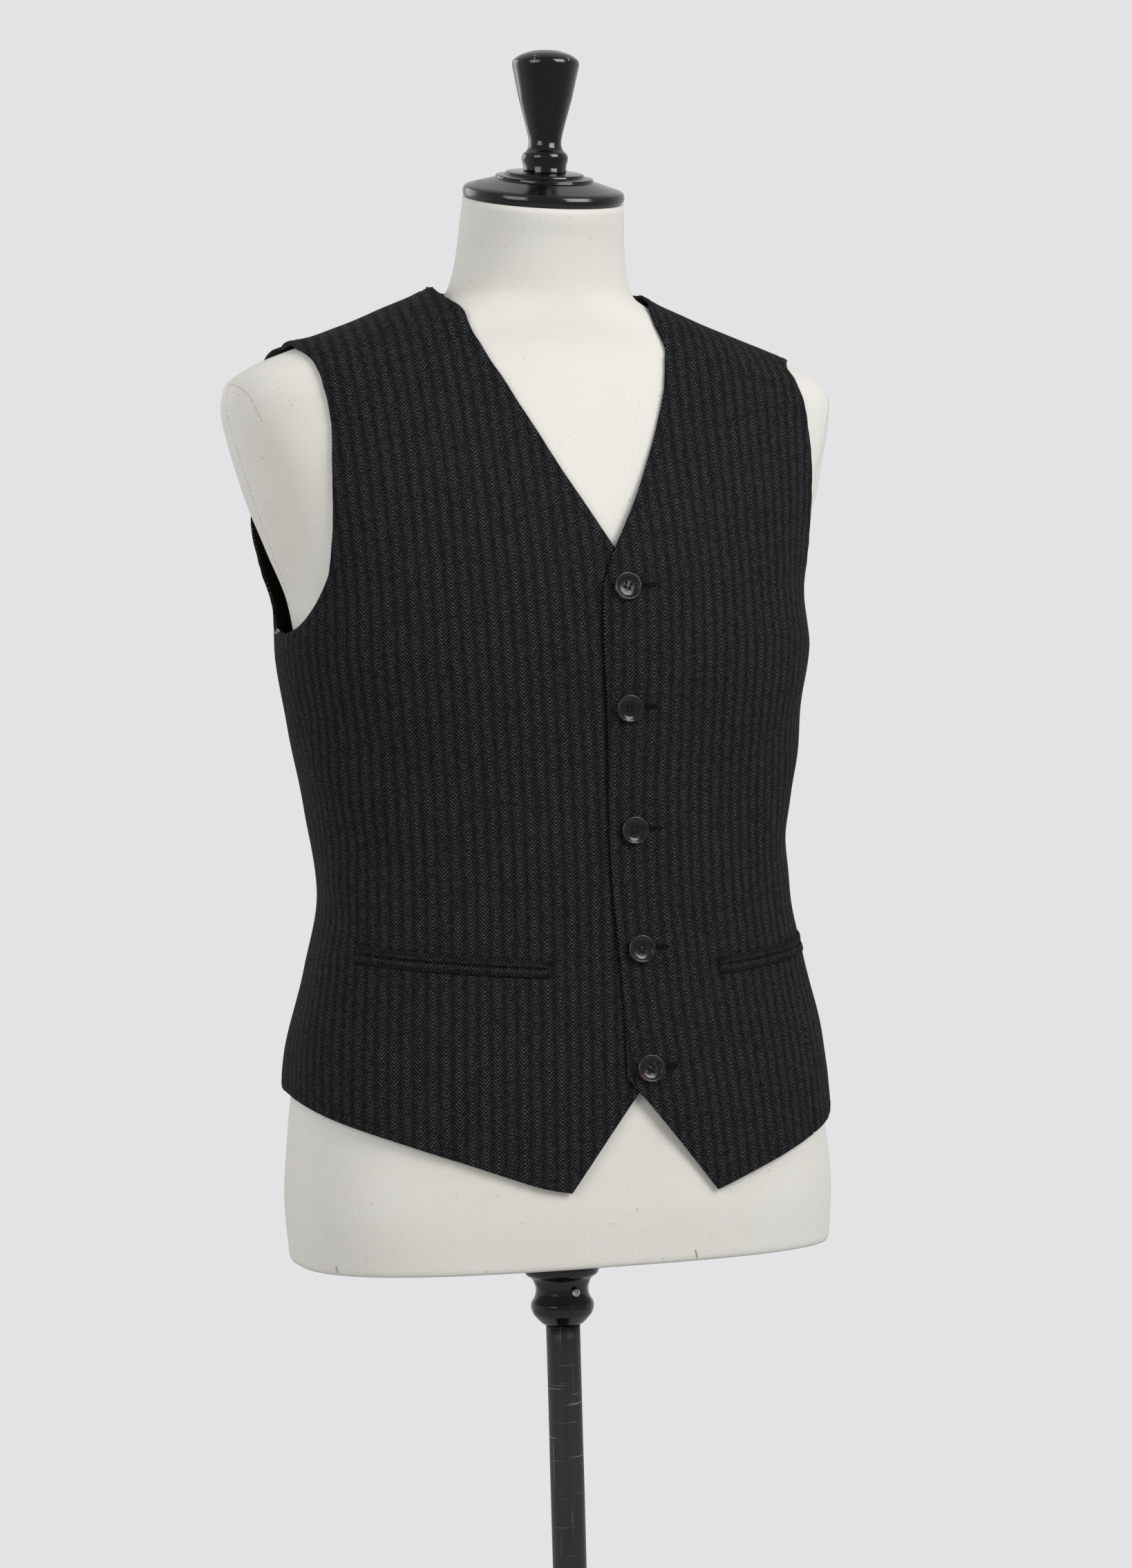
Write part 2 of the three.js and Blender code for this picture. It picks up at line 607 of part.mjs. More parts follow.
const object = new THREE.Group();
object.add(waistcoat(), bust(), neckTop(), stand());

export default object;
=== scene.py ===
"""A suit waistcoat on a dress form stand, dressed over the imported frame.

Tables are in millimetres and degrees. A turn is measured round the body: 0 is its centre front and
90 its wearer's left side. Meshes are in metres, +Z up, with the front facing -Y.
"""

import json
import math

import bmesh
import bpy
import numpy as np
from mathutils import Matrix, Vector

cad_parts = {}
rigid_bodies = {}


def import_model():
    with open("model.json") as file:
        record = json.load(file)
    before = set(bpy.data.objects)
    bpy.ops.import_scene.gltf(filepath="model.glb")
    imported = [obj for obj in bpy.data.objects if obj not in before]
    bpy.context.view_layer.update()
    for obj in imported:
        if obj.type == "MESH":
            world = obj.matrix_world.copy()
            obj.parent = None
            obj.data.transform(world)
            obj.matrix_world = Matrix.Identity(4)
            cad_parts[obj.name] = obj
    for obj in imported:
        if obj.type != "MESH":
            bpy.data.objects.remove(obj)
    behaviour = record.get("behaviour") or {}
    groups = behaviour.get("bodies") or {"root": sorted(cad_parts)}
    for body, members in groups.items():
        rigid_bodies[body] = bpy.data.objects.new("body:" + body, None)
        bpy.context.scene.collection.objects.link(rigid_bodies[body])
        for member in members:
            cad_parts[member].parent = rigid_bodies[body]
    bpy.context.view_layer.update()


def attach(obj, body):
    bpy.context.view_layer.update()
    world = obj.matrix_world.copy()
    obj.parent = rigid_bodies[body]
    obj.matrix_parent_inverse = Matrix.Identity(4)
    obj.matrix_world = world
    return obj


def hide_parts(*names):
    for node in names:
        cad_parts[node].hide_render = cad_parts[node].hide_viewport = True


bl_info = {
    "name": "Suit waistcoat on a dress form",
    "version": (1, 0, 0),
    "blender": (4, 5, 0),
    "location": "View3D > Sidebar > Waistcoat",
    "description": "Dresses the packed frame in herringbone wool, linen and black lacquer",
    "category": "Object",
}

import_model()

MM = 0.001

# The body, a row for each level: z, half width, front y, back y, y of the widest line, boxiness
BODY_ROWS = (
    (800, 200, -119, 117, 0, 2.8),
    (845, 203, -123, 121, 0, 2.75),
    (900, 199, -122, 125, 0, 2.6),
    (950, 192, -117, 123, -2, 2.5),
    (1010, 175, -110, 112, -7, 2.45),
    (1070, 164, -107, 102, -10, 2.4),
    (1130, 171, -109, 103, -3, 2.4),
    (1190, 179, -115, 106, 0, 2.4),
    (1240, 184, -119, 109, 0, 2.4),
    (1280, 189, -118, 113, 4, 2.45),
    (1320, 203, -110, 118, 9, 2.5),
    (1360, 217, -99, 122, 14, 2.6),
    (1400, 228, -88, 122, 17, 2.6),
    (1425, 232.5, -81, 118, 18, 2.6),
    (1440, 230, -77, 112, 18, 2.5),
    (1453, 213, -73, 105, 17, 2.4),
    (1465, 184, -71, 98, 15, 2.3),
    (1475, 152, -71, 89, 11, 2.2),
    (1484, 120, -71, 79, 6, 2.1),
    (1493, 88, -71, 68, 0, 2.05),
    (1502, 72, -72, 59, -6, 2.0),
    (1516, 65.5, -75, 52, -12, 2.0),
    (1534, 62.2, -80, 46, -17, 2.0),
    (1554, 60.5, -84, 38, -23, 2.0),
    (1572, 59, -88, 30, -29, 2.0),
)
# The wearer's left shoulder hangs a little lower: how far, from which x on, from which z up
SHOULDER_DROP = 4.5
DROP_FROM_X = (40, 185)
DROP_FROM_Z = (1330, 1440)

FORM_BOTTOM = 800
HALF_WAY = 1200
LEAN_FROM = 1528
NECK_TOP = 1572
NECK_TOP_Y = -29
NECK_TILT = 16
FINIAL_TILT = 7

# How far the cloth stands off the body: z, front, side, shoulder blade, back, more on the right
EASE_ROWS = (
    (840, 3, 3, 4, 5, 0),
    (900, 2.5, 4.2, 3, 3, 0),
    (950, 3, 8, 5, 5, 0),
    (1010, 5, 10, 7, 12, 0),
    (1070, 7, 10, 9, 16, 0),
    (1130, 6, 9, 9, 15, 0),
    (1190, 4, 12, 10, 10, 0),
    (1240, 2.5, 15, 9, 7, 0),
    (1290, 2, 6, 14, 5, 0),
    (1330, 1.6, 2, 16, 4, 0),
    (1380, 1.3, 1.4, 9, 3, 0),
    (1430, 1.2, 1.4, 4.5, 1.8, 0),
    (1466, 1.2, 1.3, 2.2, 1.6, 0.3),
    (1477, 1.2, 1.6, 2, 1.5, 2),
    (1494, 1.3, 4.5, 4, 2, 6.5),
    (1510, 1.5, 5, 4, 2.5, 4),
    (1540, 1.5, 4, 4, 3, 0),
)
EASE_TURNS = (0, 90, 130, 180)

# The cloth's outer side above its ease, and the closure's rise over the right front
CLOTH_OUTER = 2.4
OVERLAP_LIFT = 3
OVERLAP_TURNS = (15.5, 28)
OVERLAP_UP = (858, 912)
OVERLAP_DOWN = (1315, 1390)
BACK_HEM_RISE = 12
SEAM_GAP = 0.3

# Edges of the cut pieces: how many of the panel's steps each takes, then its (turn, z) places
RIGHT_CUTAWAY = (3, ((-8.2, 855), (-2, 884), (4.7, 914), (14.5, 953)))
RIGHT_UNDERLAP = (11, ((14.5, 953), (14.5, 1100), (13.5, 1268)))
RIGHT_NECKLINE = (14, (
    (13.5, 1268), (5.5, 1310), (-3.4, 1366), (-8.7, 1407), (-14.1, 1445), (-20.4, 1465),
    (-34.3, 1483), (-56.5, 1491), (-80, 1498), (-96, 1503),
))
RIGHT_HEM = (14, (
    (-8.2, 855), (-13.4, 859), (-30.4, 881), (-48.8, 901), (-72.9, 918), (-88, 924),
))
LEFT_CUTAWAY = (3, ((22.3, 851), (18, 872), (13.5, 893), (9, 913), (4.2, 933)))
LEFT_CLOSURE = (11, (
    (4.2, 933), (4.6, 1003), (3, 1087), (2.4, 1201), (1.9, 1245), (2.2, 1284),
))
LEFT_NECKLINE = (14, (
    (2.2, 1284), (5.5, 1310), (10.4, 1346), (14.5, 1387), (17.4, 1427), (18.7, 1444),
    (21.2, 1456), (27.9, 1476), (38.5, 1486.5), (55, 1493), (72, 1499), (96, 1504),
))
LEFT_HEM = (14, ((22.3, 851), (34.7, 867), (49.7, 883), (62.5, 893), (80, 907), (92, 918)))
RIGHT_SIDE_SEAM = (12, (
    (-88, 924), (-92, 960), (-95, 1010), (-96, 1050), (-88, 1112), (-78, 1160), (-76, 1198),
    (-80, 1229), (-90, 1261),
))
LEFT_SIDE_SEAM = (12, (
    (92, 918), (94, 960), (95, 1010), (95, 1050), (90, 1112), (85, 1160), (84, 1198),
    (87, 1229), (93, 1261),
))
RIGHT_ARMHOLE = (16, (
    (-90, 1261), (-81, 1259), (-73.8, 1262), (-67.1, 1272), (-62.2, 1285), (-58.1, 1297),
    (-53.3, 1320), (-48.9, 1348), (-46.1, 1376), (-44.1, 1404), (-44.3, 1428), (-48, 1445),
    (-57.9, 1456), (-78, 1463), (-95, 1464),
))
LEFT_ARMHOLE = (16, (
    (93, 1261), (86, 1259), (79, 1263), (74, 1273), (70, 1290), (65, 1312), (60, 1333),
    (56.5, 1352), (54, 1374), (51.5, 1396), (49.5, 1415), (48.5, 1432), (49.5, 1445),
    (54, 1453), (64, 1458), (80, 1460), (95, 1460),
))
RIGHT_BACK_ARMHOLE = (16, (
    (270, 1261), (261, 1264), (254, 1273), (249, 1287), (246, 1300), (241, 1320), (237, 1345),
    (233, 1372), (230, 1400), (230, 1422), (233, 1440), (243, 1455), (255, 1462), (265, 1464),
))
LEFT_BACK_ARMHOLE = (16, (
    (93, 1261), (102, 1264), (109, 1273), (114, 1287), (117, 1300), (122, 1320), (126, 1345),
    (129, 1372), (131, 1400), (131, 1422), (128, 1440), (118, 1452), (106, 1458), (95, 1460),
))
BACK_NECKLINE = (10, ((96, 1504), (140, 1508), (180, 1509), (220, 1508), (264, 1503)))
SHOULDER_STEPS = 7

# Buttons, pocket mouths and the front dart, as (turn, z) places
BUTTONS = ((7.3, 1282), (7.4, 1197), (8.8, 1110), (9.5, 1024), (9.1, 939))
POCKETS = {
    "pocket_right": ((-12.3, 1012), (-61, 1025)),
    "pocket_left": ((29.2, 1009), (77.5, 1021)),
}
RIGHT_DART = ((-34.6, 982), (-33.5, 967), (-32.2, 929), (-30.4, 880))
LEFT_DART = ((53.5, 978), (52.6, 962), (51.2, 925), (49.6, 882))
FACING_LINE = ((-86.5, 951), (-66.7, 943), (-47.2, 929), (-37.9, 922), (-31.2, 916))

# How far the cloth sinks at a pocket's mouth, and how far from it the sinking starts and ends
MOUTH_SINK = 0.9
MOUTH_SINK_EDGE = (5.6, 8.4)

# Soft troughs and ridges of the worn cloth: how deep, how wide, and the (turn, z) line of each
CREASES = (
    (-1.5, 13, ((-70, 1232), (-62, 1246), (-54, 1261))),
    (-2.6, 24, ((-86, 1222), (-66, 1192), (-46, 1166), (-30, 1150))),
    (1.8, 20, ((-84, 1176), (-66, 1152), (-48, 1132))),
    (-2.3, 19, ((-88, 1132), (-68, 1108), (-47, 1092), (-30, 1084))),
    (1.3, 16, ((-80, 1088), (-62, 1068), (-46, 1058))),
    (-1.5, 15, ((-90, 1062), (-74, 1048), (-60, 1040))),
    (-1.0, 22, ((-20, 1330), (-32, 1290), (-40, 1240))),
    (0.9, 22, ((-22, 1250), (-27, 1190), (-26, 1140))),
    (-1.0, 18, ((-52, 990), (-58, 950), (-62, 925))),
    (-2.4, 22, ((84, 1226), (68, 1198), (52, 1176), (36, 1160))),
    (1.6, 18, ((82, 1180), (66, 1158), (50, 1142))),
    (-2.0, 18, ((90, 1126), (70, 1102), (52, 1090))),
    (-1.2, 14, ((74, 1246), (66, 1258), (61, 1270))),
    (1.0, 16, ((80, 1082), (64, 1066), (48, 1058))),
    (-0.9, 20, ((26, 1340), (38, 1300), (46, 1250))),
    (-1.0, 18, ((58, 985), (66, 948), (70, 920))),
    (-2.8, 22, ((118, 1182), (146, 1150), (172, 1140), (190, 1143))),
    (2.0, 18, ((112, 1140), (140, 1112), (168, 1104))),
    (-2.6, 20, ((244, 1196), (222, 1162), (200, 1134), (182, 1120))),
    (-2.2, 18, ((116, 1092), (142, 1078), (170, 1074), (196, 1080))),
    (1.8, 17, ((246, 1142), (226, 1116), (204, 1104))),
    (-2.0, 18, ((248, 1086), (226, 1064), (204, 1056))),
    (-2.6, 17, ((128, 1392), (136, 1340), (139, 1284), (137, 1238))),
    (-2.4, 17, ((232, 1390), (225, 1338), (222, 1282), (224, 1236))),
    (-1.2, 24, ((176, 1040), (178, 985), (182, 930))),
    (1.2, 26, ((152, 1330), (158, 1270), (160, 1215))),
    (1.2, 26, ((208, 1330), (204, 1270), (203, 1215))),
    (2.8, 12, ((-62, 1456), (-78, 1463), (-95, 1464))),
    (2.8, 12, ((265, 1464), (255, 1462), (243, 1455))),
)

# The linen body's hand-sewn lines and the hollows in front of its shoulder caps, wearer's right
ARM_SEAM = (
    (-85.8, 1439), (-87, 1420), (-86.4, 1402), (-85.2, 1385), (-85.6, 1363), (-87, 1344),
    (-90, 1320), (-94, 1295), (-98, 1268),
)
SHOULDER_DART = (
    (-85.8, 1439), (-79, 1438), (-73.1, 1435), (-67.3, 1429), (-64.3, 1420), (-63.2, 1412),
    (-62.5, 1407),
)
SHOULDER_HOLLOW = (
    (-73, 1418), (-69.5, 1397), (-67.1, 1381), (-65.8, 1368), (-66.3, 1352), (-68.4, 1337),
    (-72, 1310),
)
FORM_PINS = ((-60, 809), (18, 809), (72, 815), (130, 810), (-140, 812))

# Turned profiles, radius and height from the bottom up
CAP_PROFILE = (
    (0, 0), (57.5, 0), (59.2, 1.6), (59.6, 4.6), (58.6, 7.6), (56, 9), (38, 14.2), (36.2, 14.6),
    (35.8, 16.8), (29.4, 17.4), (28.4, 19.6), (18.5, 20.5), (0, 20.5),
)
CAP_HEIGHT = 20.5
FINIAL_PROFILE = (
    (0, -4), (16.5, -4), (15.6, 2), (16.3, 5.5), (17.3, 9), (16.4, 12), (13.4, 14.5), (11.8, 19),
    (12.3, 24), (14.2, 32), (19.6, 52), (23.8, 72), (24.8, 76.5), (24, 79.5), (19.5, 83),
    (11, 86), (0, 87),
)
COLLAR_PROFILE = (
    (0, 0), (14.2, 0), (17, 2.5), (22, 8), (23.6, 13), (23.4, 16.5), (21, 20), (19.6, 24),
    (19.6, 28), (22, 34.5), (27, 37.5), (28.5, 41), (28.5, 56.7), (0, 56.7),
)
BASE_PROFILE = (
    (0, 0), (188, 0), (192, 4), (192, 16), (187, 22), (60, 30), (44, 34), (32, 46), (30, 58),
    (26, 62), (0, 62),
)
# Beyond this radius the horn takes its rim's lighter colour: brown horn streaked with a painted
# highlight along the raised rim
RIM_RADIUS = 9.2
BUTTON_PROFILE = (
    (0, 0), (8, 0), (9.4, 0.6), (10, 1.6), (9.95, 2.5), (9.6, 3.2), (9.1, 3.4), (8.5, 3.2),
    (7.6, 2.5), (6.4, 1.95), (4.5, 1.7), (2.5, 1.75), (0, 1.8),
)
SCREW_PROFILE = ((0, 0), (3.4, 0), (3.3, 0.9), (2.7, 1.9), (1.5, 2.6), (0, 2.9))
COLLAR_BOTTOM = 743
POLE_TOP = 742.7
POLE_BOTTOM = 62.3
POLE_RADIUS = 12.6
REST_GAP = 0.3
BUTTON_SHANK = 0.75
SCREW_SEAT = (20.4, 768.5, 12)

# The photograph's camera
CAMERA_TURN = -17
CAMERA_DISTANCE = 2.56
CAMERA_HEIGHT = 1.15
CAMERA_AIM = 0.3
CAMERA_PITCH = 0.15
CAMERA_ROLL = 1.6
CAMERA_LENS = 79.24


def linear(hex_colour):
    """An sRGB hex colour as linear red, green, blue and alpha."""
    channels = [int(hex_colour[i:i + 2], 16) / 255 for i in (1, 3, 5)]
    straight = [c / 12.92 if c <= 0.04045 else ((c + 0.055) / 1.055) ** 2.4 for c in channels]
    return (*straight, 1.0)


def colour_property(name, description, hex_colour):
    """A colour that the user may change, from its sRGB hex value."""
    return bpy.props.FloatVectorProperty(
        name=name, description=description, subtype="COLOR", size=4, min=0, max=1,
        default=linear(hex_colour),
    )


def length_property(name, description, millimetres):
    """A length that the user may change, from millimetres."""
    return bpy.props.FloatProperty(
        name=name, description=description, unit="LENGTH", min=0, default=millimetres * MM,
        precision=5,
    )


def smooth(value, low, high):
    """0 below low, 1 above high, with no corner between."""
    share = np.clip((value - low) / (high - low), 0, 1)
    return share * share * (3 - 2 * share)


class SmoothTable:
    """Columns against a rising first column, joined by curves that never swing past a row."""

    def __init__(self, rows):
        rows = np.array(rows, float)
        self.keys = rows[:, 0]
        self.values = rows[:, 1:]
        steps = np.diff(self.values, axis=0) / np.diff(self.keys)[:, None]
        before = np.vstack([steps[:1], steps])
        after = np.vstack([steps, steps[-1:]])
        product = before * after
        total = np.where(product > 0, before + after, 1)
        self.slopes = np.where(product > 0, 2 * product / total, 0)

    def at(self, key):
        key = np.clip(key, self.keys[0], self.keys[-1])
        low = np.clip(np.searchsorted(self.keys, key) - 1, 0, len(self.keys) - 2)
        span = self.keys[low + 1] - self.keys[low]
        t = ((key - self.keys[low]) / span)[..., None]
        span = span[..., None]
        return (
            (2 * t ** 3 - 3 * t ** 2 + 1) * self.values[low]
            + (t ** 3 - 2 * t ** 2 + t) * span * self.slopes[low]
            + (3 * t ** 2 - 2 * t ** 3) * self.values[low + 1]
            + (t ** 3 - t ** 2) * span * self.slopes[low + 1]
        )


BODY = SmoothTable(BODY_ROWS)
EASE = SmoothTable(EASE_ROWS)


def body_point(turn, z):
    """Places on the bare body, in millimetres."""
    turn, z = np.broadcast_arrays(np.asarray(turn, float), np.asarray(z, float))
    half_width, front, back, widest, power = np.moveaxis(BODY.at(z), -1, 0)
    s = np.sin(np.radians(turn))
    c = np.cos(np.radians(turn))
    reach = (np.abs(s) ** power + np.abs(c) ** power) ** (-1 / power)
    depth = np.where(c > 0, widest - front, back - widest)
    y = widest - depth * reach * c
    lean = smooth(z, LEAN_FROM, NECK_TOP) * math.tan(math.radians(NECK_TILT))
    x = half_width * reach * s
    drop = SHOULDER_DROP * smooth(x, *DROP_FROM_X) * smooth(z, *DROP_FROM_Z)
    return np.stack([x, y, z + lean * (y - widest) - drop], axis=-1)


def unit(vectors):
    """Vectors of length one."""
    return vectors / np.linalg.norm(vectors, axis=-1, keepdims=True)


def body_normal(turn, z):
    """The body's outward direction."""
    across = body_point(turn + 0.2, z) - body_point(turn - 0.2, z)
    up = body_point(turn, z + 0.3) - body_point(turn, z - 0.3)
    return unit(np.cross(across, up))


def ease(turn, z):
    """How far the cloth's inner side stands off the body."""
    values = EASE.at(z)
    angle = np.abs((turn + 180) % 360 - 180)
    result = values[..., 0]
    for index in (1, 2, 3):
        share = smooth(angle, EASE_TURNS[index - 1], EASE_TURNS[index])
        result = np.where(
            angle > EASE_TURNS[index - 1],
            values[..., index - 1] + (values[..., index] - values[..., index - 1]) * share,
            result,
        )
    on_right = np.maximum(0, -np.sin(np.radians(turn))) ** 2
    return result + on_right * values[..., 4]


def overlap_lift(turn, z):
    """How far the left front rises to clear the right one beneath it."""
    across = 1 - smooth(turn, *OVERLAP_TURNS)
    return OVERLAP_LIFT * across * smooth(z, *OVERLAP_UP) * (1 - smooth(z, *OVERLAP_DOWN))


def plain_cloth(turn, z, out):
    """Places on the cloth before its creases; out is measured from its inner side."""
    turn, z = np.broadcast_arrays(np.asarray(turn, float), np.asarray(z, float))
    rise = ease(turn, z) + out
    return body_point(turn, z) + body_normal(turn, z) * rise[..., None]


def dense_line(places, count):
    """Evenly spaced (turn, z) places on a smooth curve through the given ones."""
    return Edge((1, places)).at(np.linspace(0, 1, count))


def cloth_line(line, out=0):
    """The points of (turn, z) places on the cloth before its creases."""
    return plain_cloth(line[:, 0], line[:, 1], out)


def from_line(points, line):
    """Distance of each point from a polyline of points, and its share along the line."""
    flat = points.reshape(-1, 3)
    best = np.full(len(flat), np.inf)
    share = np.zeros(len(flat))
    spans = np.linalg.norm(np.diff(line, axis=0), axis=1)
    begins = np.concatenate([[0], np.cumsum(spans)])
    for start, end, begin, span in zip(line[:-1], line[1:], begins[:-1], spans):
        along = (end - start) / span
        t = np.clip((flat - start) @ along, 0, span)
        gap = np.linalg.norm(flat - start - t[:, None] * along, axis=1)
        nearer = gap < best
        best[nearer] = gap[nearer]
        share[nearer] = (begin + t[nearer]) / begins[-1]
    return best.reshape(points.shape[:-1]), share.reshape(points.shape[:-1])


def relief(turn, z):
    """Height of the cloth's creases and of its slight unevenness, the same on every layer."""
    turn, z = np.broadcast_arrays(np.asarray(turn, float), np.asarray(z, float))
    points = plain_cloth(turn, z, 0)
    x, y, height = np.moveaxis(points, -1, 0)
    waves = 0.22 * np.sin(x / 17 + height / 29) * np.sin(y / 21 - height / 37 + 1.3)
    waves += 0.16 * np.sin(x / 9.5 - height / 15 + 0.7) * np.sin(y / 11 + height / 23)
    total = waves * (1 - 0.75 * smooth(z, 1400, 1440))
    for depth, width, places in CREASES:
        gap, share = from_line(points, cloth_line(dense_line(places, 14)))
        taper = np.sin(np.pi * np.clip(share, 0.06, 0.94))
        total += depth * taper * np.exp(-((gap / width) ** 2))
    for ends in POCKETS.values():
        gap, _ = from_line(points, cloth_line(pocket_line(ends, 12)))
        total -= MOUTH_SINK * (1 - smooth(gap, *MOUTH_SINK_EDGE))
    return total


def cloth_point(turn, z, out):
    """Places on the worn cloth."""
    rise = np.asarray(out) + relief(turn, z)
    return plain_cloth(turn, z, rise)


class Edge:
    """A smooth curve through (turn, z) places that takes a number of its panel's steps."""

    def __init__(self, edge):
        self.steps, places = edge
        places = np.array(places, float)
        before = 2 * places[0] - places[1]
        after = 2 * places[-1] - places[-2]
        knots = np.vstack([before, places, after])
        if len(places) == 2:
            self.line = places
        else:
            pieces = [self.span(knots[i:i + 4]) for i in range(len(places) - 1)]
            self.line = np.vstack([*pieces, places[-1:]])
        lengths = np.linalg.norm(np.diff(self.line, axis=0), axis=1)
        self.shares = np.concatenate([[0], np.cumsum(lengths)]) / lengths.sum()

    @staticmethod
    def span(knots, count=24):
        """Places on a centripetal curve between the middle two of four knots."""
        d0, d1, d2 = np.sqrt(np.linalg.norm(np.diff(knots, axis=0), axis=1))
        x0, x1, x2, x3 = knots
        leave = ((x1 - x0) / d0 - (x2 - x0) / (d0 + d1) + (x2 - x1) / d1) * d1
        reach = ((x2 - x1) / d1 - (x3 - x1) / (d1 + d2) + (x3 - x2) / d2) * d1
        t = np.linspace(0, 1, count, endpoint=False)[:, None]
        return (
            x1 + leave * t + (3 * (x2 - x1) - 2 * leave - reach) * t ** 2
            + (2 * (x1 - x2) + leave + reach) * t ** 3
        )

    def at(self, share):
        return np.stack([np.interp(share, self.shares, self.line[:, k]) for k in (0, 1)], axis=-1)


def run_of(edges, at):
    """Places along edges joined end to end, where at counts their steps."""
    at = np.asarray(at, float)
    result = np.zeros(at.shape + (2,))
    begin = 0
    for edge in edges:
        beyond = at >= begin
        result[beyond] = edge.at((at[beyond] - begin) / edge.steps)
        begin += edge.steps
    return result


def round_the_back(edge):
    """The same edge, with its turns counted on past the back."""
    steps, places = edge
    return (steps, tuple((turn + 360, z) for turn, z in places))


class Panel:
    """A cut piece of the waistcoat as a grid of rows, from the hem up, and columns."""

    def __init__(self, name, start, end, bottom, top, lifted=False, rise=0.0):
        self.name = name
        self.start = [Edge(edge) for edge in start]
        self.end = [Edge(edge) for edge in end]
        self.bottom = [Edge(edge) for edge in bottom]
        self.top = [Edge(edge) for edge in top]
        self.rows = sum(edge.steps for edge in self.start)
        self.columns = sum(edge.steps for edge in self.bottom)
        self.lifted = lifted
        self.rise = rise

    def place(self, row, column):
        """The (turn, z) place of a row and column."""
        u = (np.asarray(column, float) / self.columns)[..., None]
        v = (np.asarray(row, float) / self.rows)[..., None]
        start = run_of(self.start, row)
        end = run_of(self.end, row)
        low = run_of(self.bottom, column)
        high = run_of(self.top, column)
        low_ends = [run_of(self.bottom, at) for at in (0.0, float(self.columns))]
        high_ends = [run_of(self.top, at) for at in (0.0, float(self.columns))]
        low = low - (low_ends[0] + (low_ends[1] - low_ends[0]) * u)
        high = high - (high_ends[0] + (high_ends[1] - high_ends[0]) * u)
        result = start + (end - start) * u + low * (1 - v) ** 2 + high * v ** 2
        result[..., 1] += self.rise * np.sin(np.pi * u[..., 0]) * (1 - v[..., 0]) ** 2
        return result

    def inset(self, side, at, distance, out=CLOTH_OUTER):
        """Points on the cloth at a distance inside one of its edges, at counting its steps."""
        edges = getattr(self, side)
        total = sum(edge.steps for edge in edges)
        turned_back = self.end[0].line[0, 0] < self.start[0].line[0, 0]
        inward = 1 if (side in ("bottom", "end")) != turned_back else -1
        nudge = 0.02
        beyond = run_of(edges, np.minimum(at + nudge, total))
        ahead = beyond - run_of(edges, np.maximum(at - nudge, 0))
        turn, z = np.moveaxis(run_of(edges, at), -1, 0)
        if side == "bottom":
            z = z + self.rise * np.sin(np.pi * at / total)
        by_turn = body_point(turn + 0.5, z) - body_point(turn - 0.5, z)
        by_z = (body_point(turn, z + 1) - body_point(turn, z - 1)) / 2
        tangent = unit(by_turn * ahead[:, :1] + by_z * ahead[:, 1:])
        inside = inward * distance * np.cross(body_normal(turn, z), tangent)
        turn_turn = np.sum(by_turn * by_turn, axis=-1)
        z_z = np.sum(by_z * by_z, axis=-1)
        turn_z = np.sum(by_turn * by_z, axis=-1)
        along_turn = np.sum(inside * by_turn, axis=-1)
        along_z = np.sum(inside * by_z, axis=-1)
        whole = turn_turn * z_z - turn_z * turn_z
        turn = turn + (along_turn * z_z - along_z * turn_z) / whole
        z = z + (along_z * turn_turn - along_turn * turn_z) / whole
        lift = overlap_lift(turn, z) if self.lifted else 0.0
        return cloth_point(turn, z, out + lift)


def make_panels():
    """The waistcoat's three cut pieces."""
    shoulders = (
        (SHOULDER_STEPS, (LEFT_BACK_ARMHOLE[1][-1], BACK_NECKLINE[1][0])),
        (SHOULDER_STEPS, (BACK_NECKLINE[1][-1], RIGHT_BACK_ARMHOLE[1][-1])),
    )
    around = round_the_back(RIGHT_SIDE_SEAM)
    back_columns = 2 * SHOULDER_STEPS + BACK_NECKLINE[0]
    right = Panel(
        "front_right",
        (RIGHT_CUTAWAY, RIGHT_UNDERLAP, RIGHT_NECKLINE), (RIGHT_SIDE_SEAM, RIGHT_ARMHOLE),
        (RIGHT_HEM,), ((RIGHT_HEM[0], (RIGHT_NECKLINE[1][-1], RIGHT_ARMHOLE[1][-1])),),
    )
    left = Panel(
        "front_left",
        (LEFT_CUTAWAY, LEFT_CLOSURE, LEFT_NECKLINE), (LEFT_SIDE_SEAM, LEFT_ARMHOLE),
        (LEFT_HEM,), ((LEFT_HEM[0], (LEFT_NECKLINE[1][-1], LEFT_ARMHOLE[1][-1])),),
        lifted=True,
    )
    back = Panel(
        "back",
        (LEFT_SIDE_SEAM, LEFT_BACK_ARMHOLE), (around, RIGHT_BACK_ARMHOLE),
        ((back_columns, (LEFT_SIDE_SEAM[1][0], around[1][0])),),
        (shoulders[0], BACK_NECKLINE, shoulders[1]),
        rise=BACK_HEM_RISE,
    )
    return {panel.name: panel for panel in (right, left, back)}


PANELS = make_panels()


def graded(total, coarse, focuses, exact):
    """Steps from 0 to total, fine round each focus (place, flat, reach, fine) and coarse elsewhere."""
    scan = np.linspace(0, total, 6000)
    step = np.full_like(scan, coarse)
    for place, flat, reach, fine in focuses:
        away = smooth(np.abs(scan - place), flat, flat + reach)
        step = np.minimum(step, fine + (coarse - fine) * away)
    count = np.concatenate([[0], np.cumsum(np.diff(scan) / step[1:])])
    places = np.interp(np.linspace(0, count[-1], math.ceil(count[-1]) + 1), count, scan)
    for value in exact:
        places[np.argmin(np.abs(places - value))] = value
    return places


# Stitches made in one bmesh before they join the rest, which keeps the making quick
SEWN_TOGETHER = 40
# How much a stitch strays from its even place, as a share of the spacing, and in what rhythm
STITCH_STRAY = 0.12
STITCH_RHYTHM = 2.399
# A length too small to matter: vertices nearer than this are one
TINY = 1e-6


